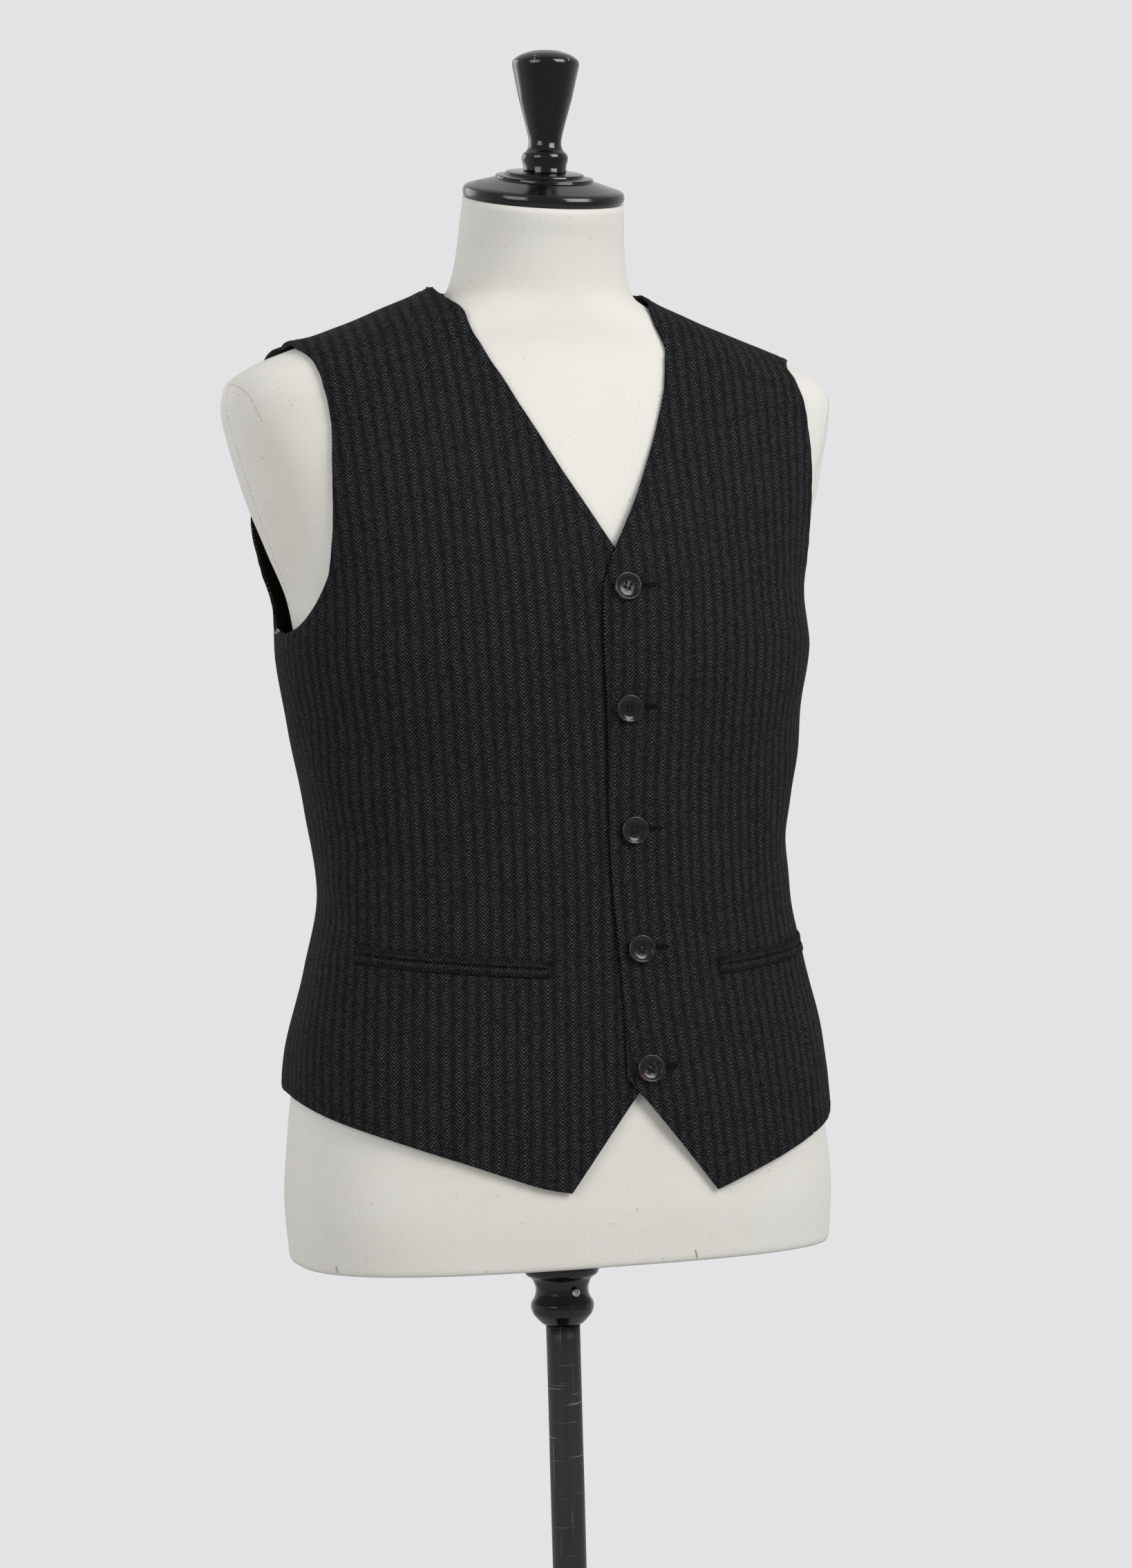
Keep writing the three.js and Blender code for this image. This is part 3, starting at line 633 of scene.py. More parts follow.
def grid_bmesh(points, close_rows=False, close_columns=False):
    """A sheet of quads through rows and columns of points in millimetres."""
    rows, columns = points.shape[:2]
    bm = bmesh.new()
    bmesh.ops.create_grid(bm, x_segments=columns - 1, y_segments=rows - 1, size=1)
    bm.verts.ensure_lookup_table()
    for vert, point in zip(bm.verts, points.reshape(-1, 3) * MM):
        vert.co = point
    if close_rows or close_columns:
        bmesh.ops.remove_doubles(bm, verts=bm.verts, dist=TINY)
    return bm


def lathe_bmesh(profile, segments):
    """A turned shape from a profile of radius and height in millimetres, closed on its axis."""
    bm = bmesh.new()
    verts = [bm.verts.new((radius * MM, 0, height * MM)) for radius, height in profile]
    edges = [bm.edges.new(pair) for pair in zip(verts[:-1], verts[1:])]
    bmesh.ops.spin(
        bm, geom=list(bm.verts) + edges, cent=(0, 0, 0), axis=(0, 0, 1), angle=math.tau,
        steps=segments, use_merge=True,
    )
    bmesh.ops.remove_doubles(bm, verts=bm.verts, dist=TINY)
    bmesh.ops.recalc_face_normals(bm, faces=bm.faces)
    return bm


def to_mesh(name, bm):
    """A mesh from a bmesh, which is used up."""
    mesh = bpy.data.meshes.new(name)
    bm.to_mesh(mesh)
    bm.free()
    return mesh


def link_object(name, data):
    """An object of the scene that shows the data."""
    item = bpy.data.objects.new(name, data)
    bpy.context.scene.collection.objects.link(item)
    return item


def make_piece(name, bm, materials, replaces=()):
    """Turns a bmesh into a piece that rides on the root body."""
    mesh = to_mesh(name, bm)
    for material in materials:
        mesh.materials.append(material)
    mesh.shade_smooth()
    piece = link_object(name, mesh)
    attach(piece, "root")
    if replaces:
        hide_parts(*replaces)
    return piece


def flatten(panel, grain):
    """Unwraps a panel to the shape it was cut to, in metres, with its grain upright."""
    rows = np.linspace(0, panel.rows, 2 * panel.rows + 1)
    columns = np.linspace(0, panel.columns, 2 * panel.columns + 1)
    row, column = np.meshgrid(rows, columns, indexing="ij")
    turn, z = np.moveaxis(panel.place(row, column), -1, 0)
    mesh = to_mesh("cut", grid_bmesh(plain_cloth(turn, z, CLOTH_OUTER)))
    draft = link_object("cut", mesh)
    for other in bpy.context.view_layer.objects:
        other.select_set(other == draft)
    bpy.context.view_layer.objects.active = draft
    mesh.uv_layers.new(name="cut")
    bpy.ops.object.mode_set(mode="EDIT")
    bpy.ops.mesh.select_all(action="SELECT")
    bpy.ops.uv.unwrap(method="MINIMUM_STRETCH", iterations=30)
    bpy.ops.object.mode_set(mode="OBJECT")
    uv = np.zeros(2 * len(mesh.loops))
    vertex = np.zeros(len(mesh.loops), int)
    mesh.uv_layers["cut"].data.foreach_get("uv", uv)
    mesh.loops.foreach_get("vertex_index", vertex)
    flat = np.zeros(len(mesh.vertices), complex)
    flat[vertex] = uv[0::2] + 1j * uv[1::2]
    corners = flat[vertex.reshape(-1, 4)]
    one = corners[:, 2] - corners[:, 0]
    other = corners[:, 3] - corners[:, 1]
    flat_area = abs(np.sum(np.imag(np.conj(one) * other)) / 2)
    area = sum(face.area for face in mesh.polygons)
    bpy.data.objects.remove(draft)
    bpy.data.meshes.remove(mesh)
    flat = flat.reshape(row.shape)
    low, high = (flat[2 * at_row, 2 * at_column] for at_row, at_column in grain)
    upright = high - low
    flat = (flat - low) * 1j * abs(upright) / upright * math.sqrt(area / flat_area)
    if np.mean(flat[:, -1].real - flat[:, 0].real) < 0:
        flat = -np.conj(flat)
    return rows, columns, flat


def on_the_cut(cut, row, column):
    """Where rows and columns of a panel lie on its flattened cut."""
    rows, columns, flat = cut
    down = np.interp(row, rows, np.arange(len(rows)))
    over = np.interp(column, columns, np.arange(len(columns)))
    i = np.minimum(down.astype(int), len(rows) - 2)
    j = np.minimum(over.astype(int), len(columns) - 2)
    a = down - i
    b = over - j
    low = flat[i, j] * (1 - b) + flat[i, j + 1] * b
    high = flat[i + 1, j] * (1 - b) + flat[i + 1, j + 1] * b
    place = low * (1 - a) + high * a
    return np.stack([place.real, place.imag], axis=-1)


def set_cut_map(mesh, places):
    """Gives each corner of the mesh its vertex's place on the cut, in metres."""
    vertex = np.zeros(len(mesh.loops), int)
    mesh.loops.foreach_get("vertex_index", vertex)
    mesh.uv_layers.new(name="cut").data.foreach_set("uv", places[vertex].ravel())


def lay_cut_map(bm, across, along):
    """Gives a grid's corners their places on the cut: across by column and along by row."""
    layer = bm.loops.layers.uv.new("cut")
    bm.verts.index_update()
    for face in bm.faces:
        for loop in face.loops:
            row, column = divmod(loop.vert.index, len(across))
            loop[layer].uv = (across[column] * MM, along[row] * MM)


def round_edges(piece, width, degrees):
    """Rounds the piece's edges that are sharper than an angle."""
    fold = piece.modifiers.new("fold", "BEVEL")
    fold.width = width
    fold.segments = 2
    fold.limit_method = "ANGLE"
    fold.angle_limit = math.radians(degrees)


def cut_away(piece, cutter):
    """Cuts a bmesh out of the piece once its modifiers are applied; returns the tool."""
    tool = link_object("cutter", to_mesh("cutter", cutter))
    cut = piece.modifiers.new("cut", "BOOLEAN")
    cut.object = tool
    cut.solver = "EXACT"
    return tool


def apply_modifiers(piece, tool=None):
    """Makes the work of the piece's modifiers its mesh, and clears the tool away."""
    finished = bpy.data.meshes.new_from_object(
        piece.evaluated_get(bpy.context.evaluated_depsgraph_get())
    )
    old = piece.data
    piece.modifiers.clear()
    piece.data = finished
    bpy.data.meshes.remove(old)
    if tool:
        bpy.data.objects.remove(tool)
    return finished


# The cloth's folded edge: its rounding as a share of the wall, and the angle it starts at
EDGE_ROUNDING = 0.34
EDGE_ANGLE = 50


def thicken(piece, thickness):
    """Gives a one-sided cloth its wall, a lining inside and softly folded edges."""
    wall = piece.modifiers.new("wall", "SOLIDIFY")
    wall.thickness = thickness
    wall.offset = -1
    wall.material_offset = 1
    round_edges(piece, EDGE_ROUNDING * thickness, EDGE_ANGLE)
    apply_modifiers(piece).name = piece.name


def bar_matrix(start, end, outward, radius):
    """Places a ball of radius 1 as a stretched bar between two points in millimetres."""
    start = np.array(start)
    end = np.array(end)
    middle = Vector((start + end) / 2 * MM)
    along = Vector(unit(end - start))
    up = Vector(outward)
    side = up.cross(along).normalized()
    up = along.cross(side)
    turn = Matrix((along, side, up)).transposed().to_4x4()
    reach = float(np.linalg.norm(end - start)) / 2
    return Matrix.Translation(middle) @ turn @ Matrix.Diagonal(
        (reach * MM, radius * MM, radius * MM, 1)
    )


def sewn_line(bm, points, outwards, spacing, length, radius):
    """Adds a stitch to the bmesh at even spacing along a line of points."""
    spans = np.linalg.norm(np.diff(points, axis=0), axis=1)
    along = np.concatenate([[0], np.cumsum(spans)])
    count = int(along[-1] / spacing)
    index = np.arange(count)
    begin = (index + 0.5) * spacing - length / 2 + STITCH_STRAY * spacing * np.sin(
        index * STITCH_RHYTHM
    )
    starts, ends, up = (
        np.stack([np.interp(begin + step, along, values[:, k]) for k in range(3)], axis=-1)
        for step, values in ((0, points), (length, points), (0, outwards))
    )
    bars = [bar_matrix(*ends_up, radius) for ends_up in zip(starts, ends, up)]
    for first in range(0, count, SEWN_TOGETHER):
        part = bmesh.new()
        for bar in bars[first:first + SEWN_TOGETHER]:
            bmesh.ops.create_icosphere(part, subdivisions=1, radius=1, matrix=bar)
        add_mesh(bm, part)


def add_mesh(bm, part):
    """Moves everything of one bmesh into another."""
    mesh = to_mesh("part", part)
    bm.from_mesh(mesh)
    bpy.data.meshes.remove(mesh)


def outward_from(points):
    """Roughly outward directions at points of the cloth."""
    return unit(points * np.array([1, 1, 0]) + TINY)


def add_node(tree, kind, inputs=None, **settings):
    """Adds a node; inputs are numbers, or sockets to link, by the input's name or number."""
    node = tree.nodes.new(kind)
    for name, value in settings.items():
        setattr(node, name, value)
    for name, value in (inputs or {}).items():
        if isinstance(value, bpy.types.NodeSocket):
            tree.links.new(value, node.inputs[name])
        else:
            node.inputs[name].default_value = value
    return node


def new_material(name):
    """An empty material with its tree and its Principled shader already joined."""
    material = bpy.data.materials.new(name)
    material.use_nodes = True
    tree = material.node_tree
    tree.nodes.clear()
    shader = add_node(tree, "ShaderNodeBsdfPrincipled")
    add_node(tree, "ShaderNodeOutputMaterial", {"Surface": shader.outputs[0]})
    return material, tree, shader


# The twill's rise in the wool for each step sideways
TWILL_SLOPE = 1.25


def woven_wool(name, settings):
    """Worsted wool in herringbone: dark yarn with pale flecks that run in chevrons."""
    # A napped dark wool: matt, with soft light and no gloss. Its stripes show from afar.
    material, tree, shader = new_material(name)
    period = settings.chevron_width
    pitch = settings.twill_pitch
    cut = add_node(tree, "ShaderNodeUVMap", uv_map="cut")
    uv = add_node(tree, "ShaderNodeSeparateXYZ", {0: cut.outputs[0]})
    wobble = add_node(
        tree, "ShaderNodeTexNoise", {"Vector": cut.outputs[0], "Scale": 38.0, "Detail": 1.0},
    )
    u = add_node(
        tree, "ShaderNodeMath", {0: wobble.outputs[0], 1: 0.00015, 2: uv.outputs[0]},
        operation="MULTIPLY_ADD",
    )
    fold = add_node(
        tree, "ShaderNodeMath", {0: u.outputs[0], 1: period / 2}, operation="PINGPONG",
    )
    rise = add_node(
        tree, "ShaderNodeMath", {0: fold.outputs[0], 1: -TWILL_SLOPE, 2: uv.outputs[1]},
        operation="MULTIPLY_ADD",
    )
    line = add_node(
        tree, "ShaderNodeMath", {0: rise.outputs[0], 1: pitch / 2}, operation="PINGPONG",
    )
    ridge = add_node(
        tree, "ShaderNodeMapRange",
        {0: line.outputs[0], 1: 0.25 * pitch, 2: 0.42 * pitch, 3: 0.0, 4: 1.0},
        interpolation_type="SMOOTHSTEP",
    )
    row = add_node(tree, "ShaderNodeMath", {0: rise.outputs[0], 1: pitch}, operation="DIVIDE")
    row_cell = add_node(tree, "ShaderNodeMath", {0: row.outputs[0]}, operation="FLOOR")
    yarn = add_node(
        tree, "ShaderNodeMath", {0: u.outputs[0], 1: settings.yarn_width}, operation="DIVIDE",
    )
    yarn_cell = add_node(tree, "ShaderNodeMath", {0: yarn.outputs[0]}, operation="FLOOR")
    cell = add_node(
        tree, "ShaderNodeCombineXYZ", {0: yarn_cell.outputs[0], 1: row_cell.outputs[0]},
    )
    chance = add_node(tree, "ShaderNodeTexWhiteNoise", {"Vector": cell.outputs[0]})
    fleck = add_node(
        tree, "ShaderNodeMapRange", {0: chance.outputs[0], 1: 0.0, 2: 1.0, 3: 0.28, 4: 1.14},
    )
    tip = add_node(
        tree, "ShaderNodeMapRange",
        {0: fold.outputs[0], 1: 0.0, 2: 0.5 * period, 3: 1.45, 4: 0.35},
    )
    dash = add_node(
        tree, "ShaderNodeMath", {0: u.outputs[0], 1: settings.yarn_width / 2},
        operation="PINGPONG",
    )
    dashed = add_node(
        tree, "ShaderNodeMapRange",
        {0: dash.outputs[0], 1: 0.0, 2: 0.25 * settings.yarn_width, 3: 0.35, 4: 1.0},
        interpolation_type="SMOOTHSTEP",
    )
    broken = add_node(
        tree, "ShaderNodeMath", {0: ridge.outputs[0], 1: dashed.outputs[0]},
        operation="MULTIPLY",
    )
    lit = add_node(
        tree, "ShaderNodeMath", {0: broken.outputs[0], 1: fleck.outputs[0]},
        operation="MULTIPLY",
    )
    amount = add_node(
        tree, "ShaderNodeMath", {0: lit.outputs[0], 1: tip.outputs[0]},
        operation="MULTIPLY", use_clamp=True,
    )
    colour = add_node(
        tree, "ShaderNodeMix",
        {0: amount.outputs[0], 6: settings.wool_dark, 7: settings.wool_pale}, data_type="RGBA",
    )
    fuzz = add_node(
        tree, "ShaderNodeTexNoise", {"Vector": cut.outputs[0], "Scale": 2600.0, "Detail": 2.0},
    )
    height = add_node(
        tree, "ShaderNodeMath", {0: fuzz.outputs[0], 1: 0.5, 2: ridge.outputs[0]},
        operation="MULTIPLY_ADD",
    )
    bump = add_node(
        tree, "ShaderNodeBump",
        {"Height": height.outputs[0], "Strength": 0.45, "Distance": 0.00012},
    )
    tree.links.new(colour.outputs[2], shader.inputs["Base Color"])
    tree.links.new(bump.outputs[0], shader.inputs["Normal"])
    shader.inputs["Roughness"].default_value = 0.88
    shader.inputs["Specular IOR Level"].default_value = 0.03
    shader.inputs["Sheen Weight"].default_value = 0.008
    shader.inputs["Sheen Roughness"].default_value = 0.45
    shader.inputs["Sheen Tint"].default_value = linear("#b9bec4")
    return material


def satin_lining(settings):
    """Viscose satin: a dark brown lining with a faint ribbed sheen along its warp."""
    material, tree, shader = new_material("satin_lining")
    cut = add_node(tree, "ShaderNodeUVMap", uv_map="cut")
    stretched = add_node(
        tree, "ShaderNodeMapping", {"Vector": cut.outputs[0], "Scale": (900.0, 60.0, 1.0)},
    )
    ribs = add_node(
        tree, "ShaderNodeTexNoise",
        {"Vector": stretched.outputs[0], "Scale": 1.0, "Detail": 2.0},
    )
    pale = [c * 1.7 for c in settings.lining[:3]] + [1]
    colour = add_node(
        tree, "ShaderNodeMix", {0: ribs.outputs[0], 6: settings.lining, 7: pale},
        data_type="RGBA",
    )
    bump = add_node(
        tree, "ShaderNodeBump",
        {"Height": ribs.outputs[0], "Strength": 0.5, "Distance": 0.0001},
    )
    tree.links.new(colour.outputs[2], shader.inputs["Base Color"])
    tree.links.new(bump.outputs[0], shader.inputs["Normal"])
    shader.inputs["Roughness"].default_value = 0.42
    return material


def spun_thread(name, colour, contrast=1.6):
    """Twisted sewing thread: matt, with fine light and dark plies."""
    material, tree, shader = new_material(name)
    place = add_node(tree, "ShaderNodeTexCoord")
    plies = add_node(
        tree, "ShaderNodeTexNoise",
        {"Vector": place.outputs["Object"], "Scale": 2400.0, "Detail": 1.0},
    )
    pale = [c * contrast for c in colour[:3]] + [1]
    mixed = add_node(
        tree, "ShaderNodeMix", {0: plies.outputs[0], 6: tuple(colour), 7: pale},
        data_type="RGBA",
    )
    tree.links.new(mixed.outputs[2], shader.inputs["Base Color"])
    shader.inputs["Roughness"].default_value = 0.8
    shader.inputs["Specular IOR Level"].default_value = 0.08
    return material


def polished_horn(name, dark, brown, amount):
    """Polished horn: nearly black, with brown streaks that show through at the rim. Made with the
    rim's colours, its pale streaks are a painted highlight along the raised rim.
    """
    material, tree, shader = new_material(name)
    place = add_node(tree, "ShaderNodeTexCoord")
    streaks = add_node(
        tree, "ShaderNodeTexNoise",
        {"Vector": place.outputs["Object"], "Scale": 130.0, "Detail": 4.0, "Distortion": 1.4},
    )
    shown = add_node(
        tree, "ShaderNodeMapRange",
        {0: streaks.outputs[0], 1: 0.62 - 0.3 * amount, 2: 0.8 - 0.25 * amount, 3: 0.0, 4: 1.0},
        interpolation_type="SMOOTHSTEP",
    )
    mixed = add_node(
        tree, "ShaderNodeMix", {0: shown.outputs[0], 6: dark, 7: brown}, data_type="RGBA",
    )
    rough = add_node(
        tree, "ShaderNodeMapRange", {0: streaks.outputs[0], 1: 0.3, 2: 0.7, 3: 0.14, 4: 0.26},
    )
    tree.links.new(mixed.outputs[2], shader.inputs["Base Color"])
    tree.links.new(rough.outputs[0], shader.inputs["Roughness"])
    shader.inputs["IOR"].default_value = 1.54
    shader.inputs["Specular IOR Level"].default_value = 0.3
    return material


def stretched_linen(settings):
    """Unbleached linen glued over papier mache: matt, finely woven, with faint age marks."""
    material, tree, shader = new_material("stretched_linen")
    cut = add_node(tree, "ShaderNodeUVMap", uv_map="cut")
    uv = add_node(tree, "ShaderNodeSeparateXYZ", {0: cut.outputs[0]})
    pitch = settings.linen_thread
    warp = add_node(
        tree, "ShaderNodeMath", {0: uv.outputs[0], 1: pitch}, operation="PINGPONG",
    )
    weft = add_node(
        tree, "ShaderNodeMath", {0: uv.outputs[1], 1: pitch}, operation="PINGPONG",
    )
    weave = add_node(
        tree, "ShaderNodeMath", {0: warp.outputs[0], 1: weft.outputs[0]}, operation="ADD",
    )
    slubs_at = add_node(
        tree, "ShaderNodeMapping", {"Vector": cut.outputs[0], "Scale": (60.0, 700.0, 1.0)},
    )
    slubs = add_node(
        tree, "ShaderNodeTexNoise",
        {"Vector": slubs_at.outputs[0], "Scale": 1.0, "Detail": 3.0},
    )
    height = add_node(
        tree, "ShaderNodeMath", {0: slubs.outputs[0], 1: 1.2 * pitch, 2: weave.outputs[0]},
        operation="MULTIPLY_ADD",
    )
    bump = add_node(
        tree, "ShaderNodeBump", {"Height": height.outputs[0], "Strength": 0.16, "Distance": 1.0},
    )
    place = add_node(tree, "ShaderNodeTexCoord")
    age = add_node(
        tree, "ShaderNodeTexNoise",
        {"Vector": place.outputs["Object"], "Scale": 5.5, "Detail": 5.0, "Roughness": 0.6},
    )
    aged = add_node(
        tree, "ShaderNodeMapRange", {0: age.outputs[0], 1: 0.42, 2: 0.72, 3: 0.0, 4: 0.5},
    )
    base = add_node(
        tree, "ShaderNodeMix", {0: aged.outputs[0], 6: settings.linen, 7: settings.linen_aged},
        data_type="RGBA",
    )
    specks = add_node(
        tree, "ShaderNodeTexNoise",
        {"Vector": place.outputs["Object"], "Scale": 240.0, "Detail": 1.0},
    )
    specked = add_node(
        tree, "ShaderNodeMapRange", {0: specks.outputs[0], 1: 0.74, 2: 0.8, 3: 0.0, 4: 0.4},
    )
    colour = add_node(
        tree, "ShaderNodeMix",
        {0: specked.outputs[0], 6: base.outputs[2], 7: linear("#8d7f6c")}, data_type="RGBA",
    )
    tree.links.new(colour.outputs[2], shader.inputs["Base Color"])
    tree.links.new(bump.outputs[0], shader.inputs["Normal"])
    shader.inputs["Roughness"].default_value = 0.86
    shader.inputs["Specular IOR Level"].default_value = 0.25
    return material


def black_lacquer(name, settings, worn, chip_from=None):
    """Black lacquer over turned wood: glossy, rubbed dull in places, wood where it is chipped."""
    material, tree, shader = new_material(name)
    place = add_node(tree, "ShaderNodeTexCoord")
    rub = add_node(
        tree, "ShaderNodeTexNoise",
        {"Vector": place.outputs["Object"], "Scale": 34.0, "Detail": 5.0, "Roughness": 0.65},
    )
    rough = add_node(
        tree, "ShaderNodeMapRange", {0: rub.outputs[0], 1: 0.35, 2: 0.8, 3: 0.1, 4: 0.32},
    )
    chips = add_node(
        tree, "ShaderNodeTexNoise",
        {"Vector": place.outputs["Object"], "Scale": 170.0, "Detail": 3.0, "Distortion": 0.6},
    )
    chipped = add_node(
        tree, "ShaderNodeMapRange",
        {0: chips.outputs[0], 1: 0.76 - 0.1 * worn, 2: 0.79 - 0.1 * worn, 3: 0.0, 4: 1.0},
    )
    amount = chipped.outputs[0]
    if chip_from is not None:
        height = add_node(tree, "ShaderNodeSeparateXYZ", {0: place.outputs["Object"]})
        band = add_node(
            tree, "ShaderNodeMapRange",
            {0: height.outputs[2], 1: chip_from, 2: chip_from + 0.004, 3: 0.0, 4: 1.0},
        )
        amount = add_node(
            tree, "ShaderNodeMath", {0: amount, 1: band.outputs[0]}, operation="MULTIPLY",
        ).outputs[0]
    colour = add_node(
        tree, "ShaderNodeMix", {0: amount, 6: settings.lacquer, 7: settings.bare_wood},
        data_type="RGBA",
    )
    bump = add_node(
        tree, "ShaderNodeBump",
        {"Height": rub.outputs[0], "Strength": 0.12, "Distance": 0.0006},
    )
    tree.links.new(colour.outputs[2], shader.inputs["Base Color"])
    tree.links.new(rough.outputs[0], shader.inputs["Roughness"])
    tree.links.new(bump.outputs[0], shader.inputs["Normal"])
    shader.inputs["Specular IOR Level"].default_value = 0.42
    return material


def scraped_paint(settings):
    """Black paint on a beech pole, scraped across in thin pale lines by a sliding clamp."""
    material, tree, shader = new_material("scraped_black_paint")
    place = add_node(tree, "ShaderNodeTexCoord")
    across = add_node(
        tree, "ShaderNodeMapping",
        {"Vector": place.outputs["Object"], "Scale": (26.0, 26.0, 620.0)},
    )
    scratches = add_node(
        tree, "ShaderNodeTexNoise",
        {"Vector": across.outputs[0], "Scale": 1.0, "Detail": 3.0, "Distortion": 0.25},
    )
    lines = add_node(
        tree, "ShaderNodeMapRange", {0: scratches.outputs[0], 1: 0.66, 2: 0.7, 3: 0.0, 4: 1.0},
    )
    along = add_node(
        tree, "ShaderNodeMapping",
        {"Vector": place.outputs["Object"], "Scale": (480.0, 480.0, 16.0)},
    )
    rubs = add_node(
        tree, "ShaderNodeTexNoise", {"Vector": along.outputs[0], "Scale": 1.0, "Detail": 2.0},
    )
    rubbed = add_node(
        tree, "ShaderNodeMapRange", {0: rubs.outputs[0], 1: 0.67, 2: 0.72, 3: 0.0, 4: 0.7},
    )
    marks = add_node(
        tree, "ShaderNodeMath", {0: lines.outputs[0], 1: rubbed.outputs[0]},
        operation="MAXIMUM",
    )
    patches = add_node(
        tree, "ShaderNodeTexNoise",
        {"Vector": place.outputs["Object"], "Scale": 13.0, "Detail": 3.0},
    )
    where = add_node(
        tree, "ShaderNodeMapRange", {0: patches.outputs[0], 1: 0.42, 2: 0.62, 3: 0.04, 4: 0.8},
    )
    amount = add_node(
        tree, "ShaderNodeMath", {0: marks.outputs[0], 1: where.outputs[0]},
        operation="MULTIPLY",
    )
    colour = add_node(
        tree, "ShaderNodeMix",
        {0: amount.outputs[0], 6: settings.paint, 7: settings.bare_wood}, data_type="RGBA",
    )
    rough = add_node(
        tree, "ShaderNodeMapRange", {0: patches.outputs[0], 1: 0.3, 2: 0.7, 3: 0.34, 4: 0.6},
    )
    bump = add_node(
        tree, "ShaderNodeBump",
        {"Height": marks.outputs[0], "Strength": 0.35, "Distance": 0.0003},
    )
    tree.links.new(colour.outputs[2], shader.inputs["Base Color"])
    tree.links.new(rough.outputs[0], shader.inputs["Roughness"])
    tree.links.new(bump.outputs[0], shader.inputs["Normal"])
    return material


def turned_steel():
    """Bright steel, as of a lathe-cut screw head, with a fine grain in its gloss."""
    material, tree, shader = new_material("turned_steel")
    place = add_node(tree, "ShaderNodeTexCoord")
    grain = add_node(
        tree, "ShaderNodeTexNoise",
        {"Vector": place.outputs["Object"], "Scale": 900.0, "Detail": 2.0},
    )
    rough = add_node(
        tree, "ShaderNodeMapRange", {0: grain.outputs[0], 1: 0.3, 2: 0.7, 3: 0.22, 4: 0.38},
    )
    tree.links.new(rough.outputs[0], shader.inputs["Roughness"])
    shader.inputs["Base Color"].default_value = linear("#b9b8b4")
    shader.inputs["Metallic"].default_value = 1.0
    return material


def plain_stage(name, colour):
    """Matt paper for the floor."""
    material, tree, shader = new_material(name)
    shader.inputs["Base Color"].default_value = colour
    shader.inputs["Roughness"].default_value = 0.9
    return material


def material_once(name, make):
    """The material of that name, made if it is missing."""
    return bpy.data.materials.get(name) or make()


class WaistcoatSettings(bpy.types.PropertyGroup):
    """Sizes and colours of the waistcoat."""

    wall: length_property("Cloth", "Thickness of the cloth with its lining", 1.9)
    chevron_width: length_property("Chevron", "Width of a whole chevron of the weave", 9.1)
    twill_pitch: length_property("Twill", "Height from one twill line to the next", 2.7)
    yarn_width: length_property("Yarn", "Width of one fleck of yarn", 1.14)
    stitch_spacing: length_property("Stitch spacing", "From one edge stitch to the next", 3.6)
    stitch_inset: length_property("Stitch inset", "From the edge to its row of stitches", 6)
    wool_dark: colour_property("Dark yarn", "Colour of the wool's dark yarn", "#0b0d0e")
    wool_pale: colour_property("Pale yarn", "Colour of the wool's pale flecks", "#434547")
    lining: colour_property("Lining", "Colour of the satin lining", "#1d1a16")
    thread: colour_property("Thread", "Colour of the sewing thread", "#101214")
    buttonhole: colour_property("Buttonholes", "Thread of the buttonholes", "#08090a")
    horn_dark: colour_property("Dark horn", "Colour of the buttons", "#0a0b0c")
    horn_brown: colour_property("Brown horn", "Colour of the buttons' streaks", "#2e2118")
    # The pale colour of the buttons' rims is a painted highlight along the raised rim
    horn_rim: colour_property("Horn rim", "Colour of the buttons' worn rims", "#7a6048")


class StandSettings(bpy.types.PropertyGroup):
    """Sizes and colours of the dress form and its stand."""

    linen_thread: length_property("Linen thread", "Spacing of the linen's threads", 0.55)
    linen: colour_property("Linen", "Colour of the linen", "#c6c4be")
    linen_aged: colour_property("Aged linen", "Colour of the linen's age marks", "#bcb8ae")
    seam_thread: colour_property("Seam thread", "Thread of the form's seams", "#6d655a")
    lacquer: colour_property("Lacquer", "Colour of the turned pieces", "#050506")
    paint: colour_property("Paint", "Colour of the pole", "#0c0d0e")
    bare_wood: colour_property("Bare wood", "Colour of the wood under the black", "#8f7c5f")


class StageSettings(bpy.types.PropertyGroup):
    """The floor, the light and the background."""

    floor_radius: length_property("Floor", "Radius of the round floor", 2250)
    floor_colour: colour_property("Floor colour", "Colour of the floor", "#bcbcbd")
    background: colour_property("Background", "Colour behind the object", "#e3e3e5")
    key_power: bpy.props.FloatProperty(
        name="Key light", description="Power of the main light", default=92, unit="POWER",
    )
    fill_power: bpy.props.FloatProperty(
        name="Fill light", description="Power of the light from the left", default=38,
        unit="POWER",
    )
    front_light: bpy.props.FloatProperty(
        name="Front", description="Strength of the room's light behind the camera",
        default=0.55, min=0,
    )
    rim_power: bpy.props.FloatProperty(
        name="Back light", description="Power of the light from behind", default=14,
        unit="POWER",
    )


COLUMN_FOCUSES = {
    "front_right": ((0, 0.3, 0.5, 0.05), (14, 0.3, 0.5, 0.05)),
    "front_left": ((0, 0.3, 0.5, 0.05), (14, 0.3, 0.5, 0.05)),
    "back": ((0, 0.3, 0.6, 0.06), (24, 0.3, 0.6, 0.06)),
}
ROW_FOCUSES = ((0, 0.25, 0.5, 0.045), (28, 0.3, 0.6, 0.06))
EXACT_ROWS = {"front_right": (3, 12, 14), "front_left": (3, 12, 14), "back": (12,)}
EXACT_COLUMNS = {"front_right": (), "front_left": (), "back": (7, 17)}
COARSE_STEPS = {"front_right": 0.17, "front_left": 0.17, "back": 0.19}
# Two rows and columns of each panel that its grain runs through
GRAINS = {
    "front_right": ((3, 0), (14, 0)),
    "front_left": ((3, 0), (14, 0)),
    "back": ((2, 12), (26, 12)),
}
DARTS = {"front_right": (RIGHT_DART,), "front_left": (LEFT_DART,), "back": ()}
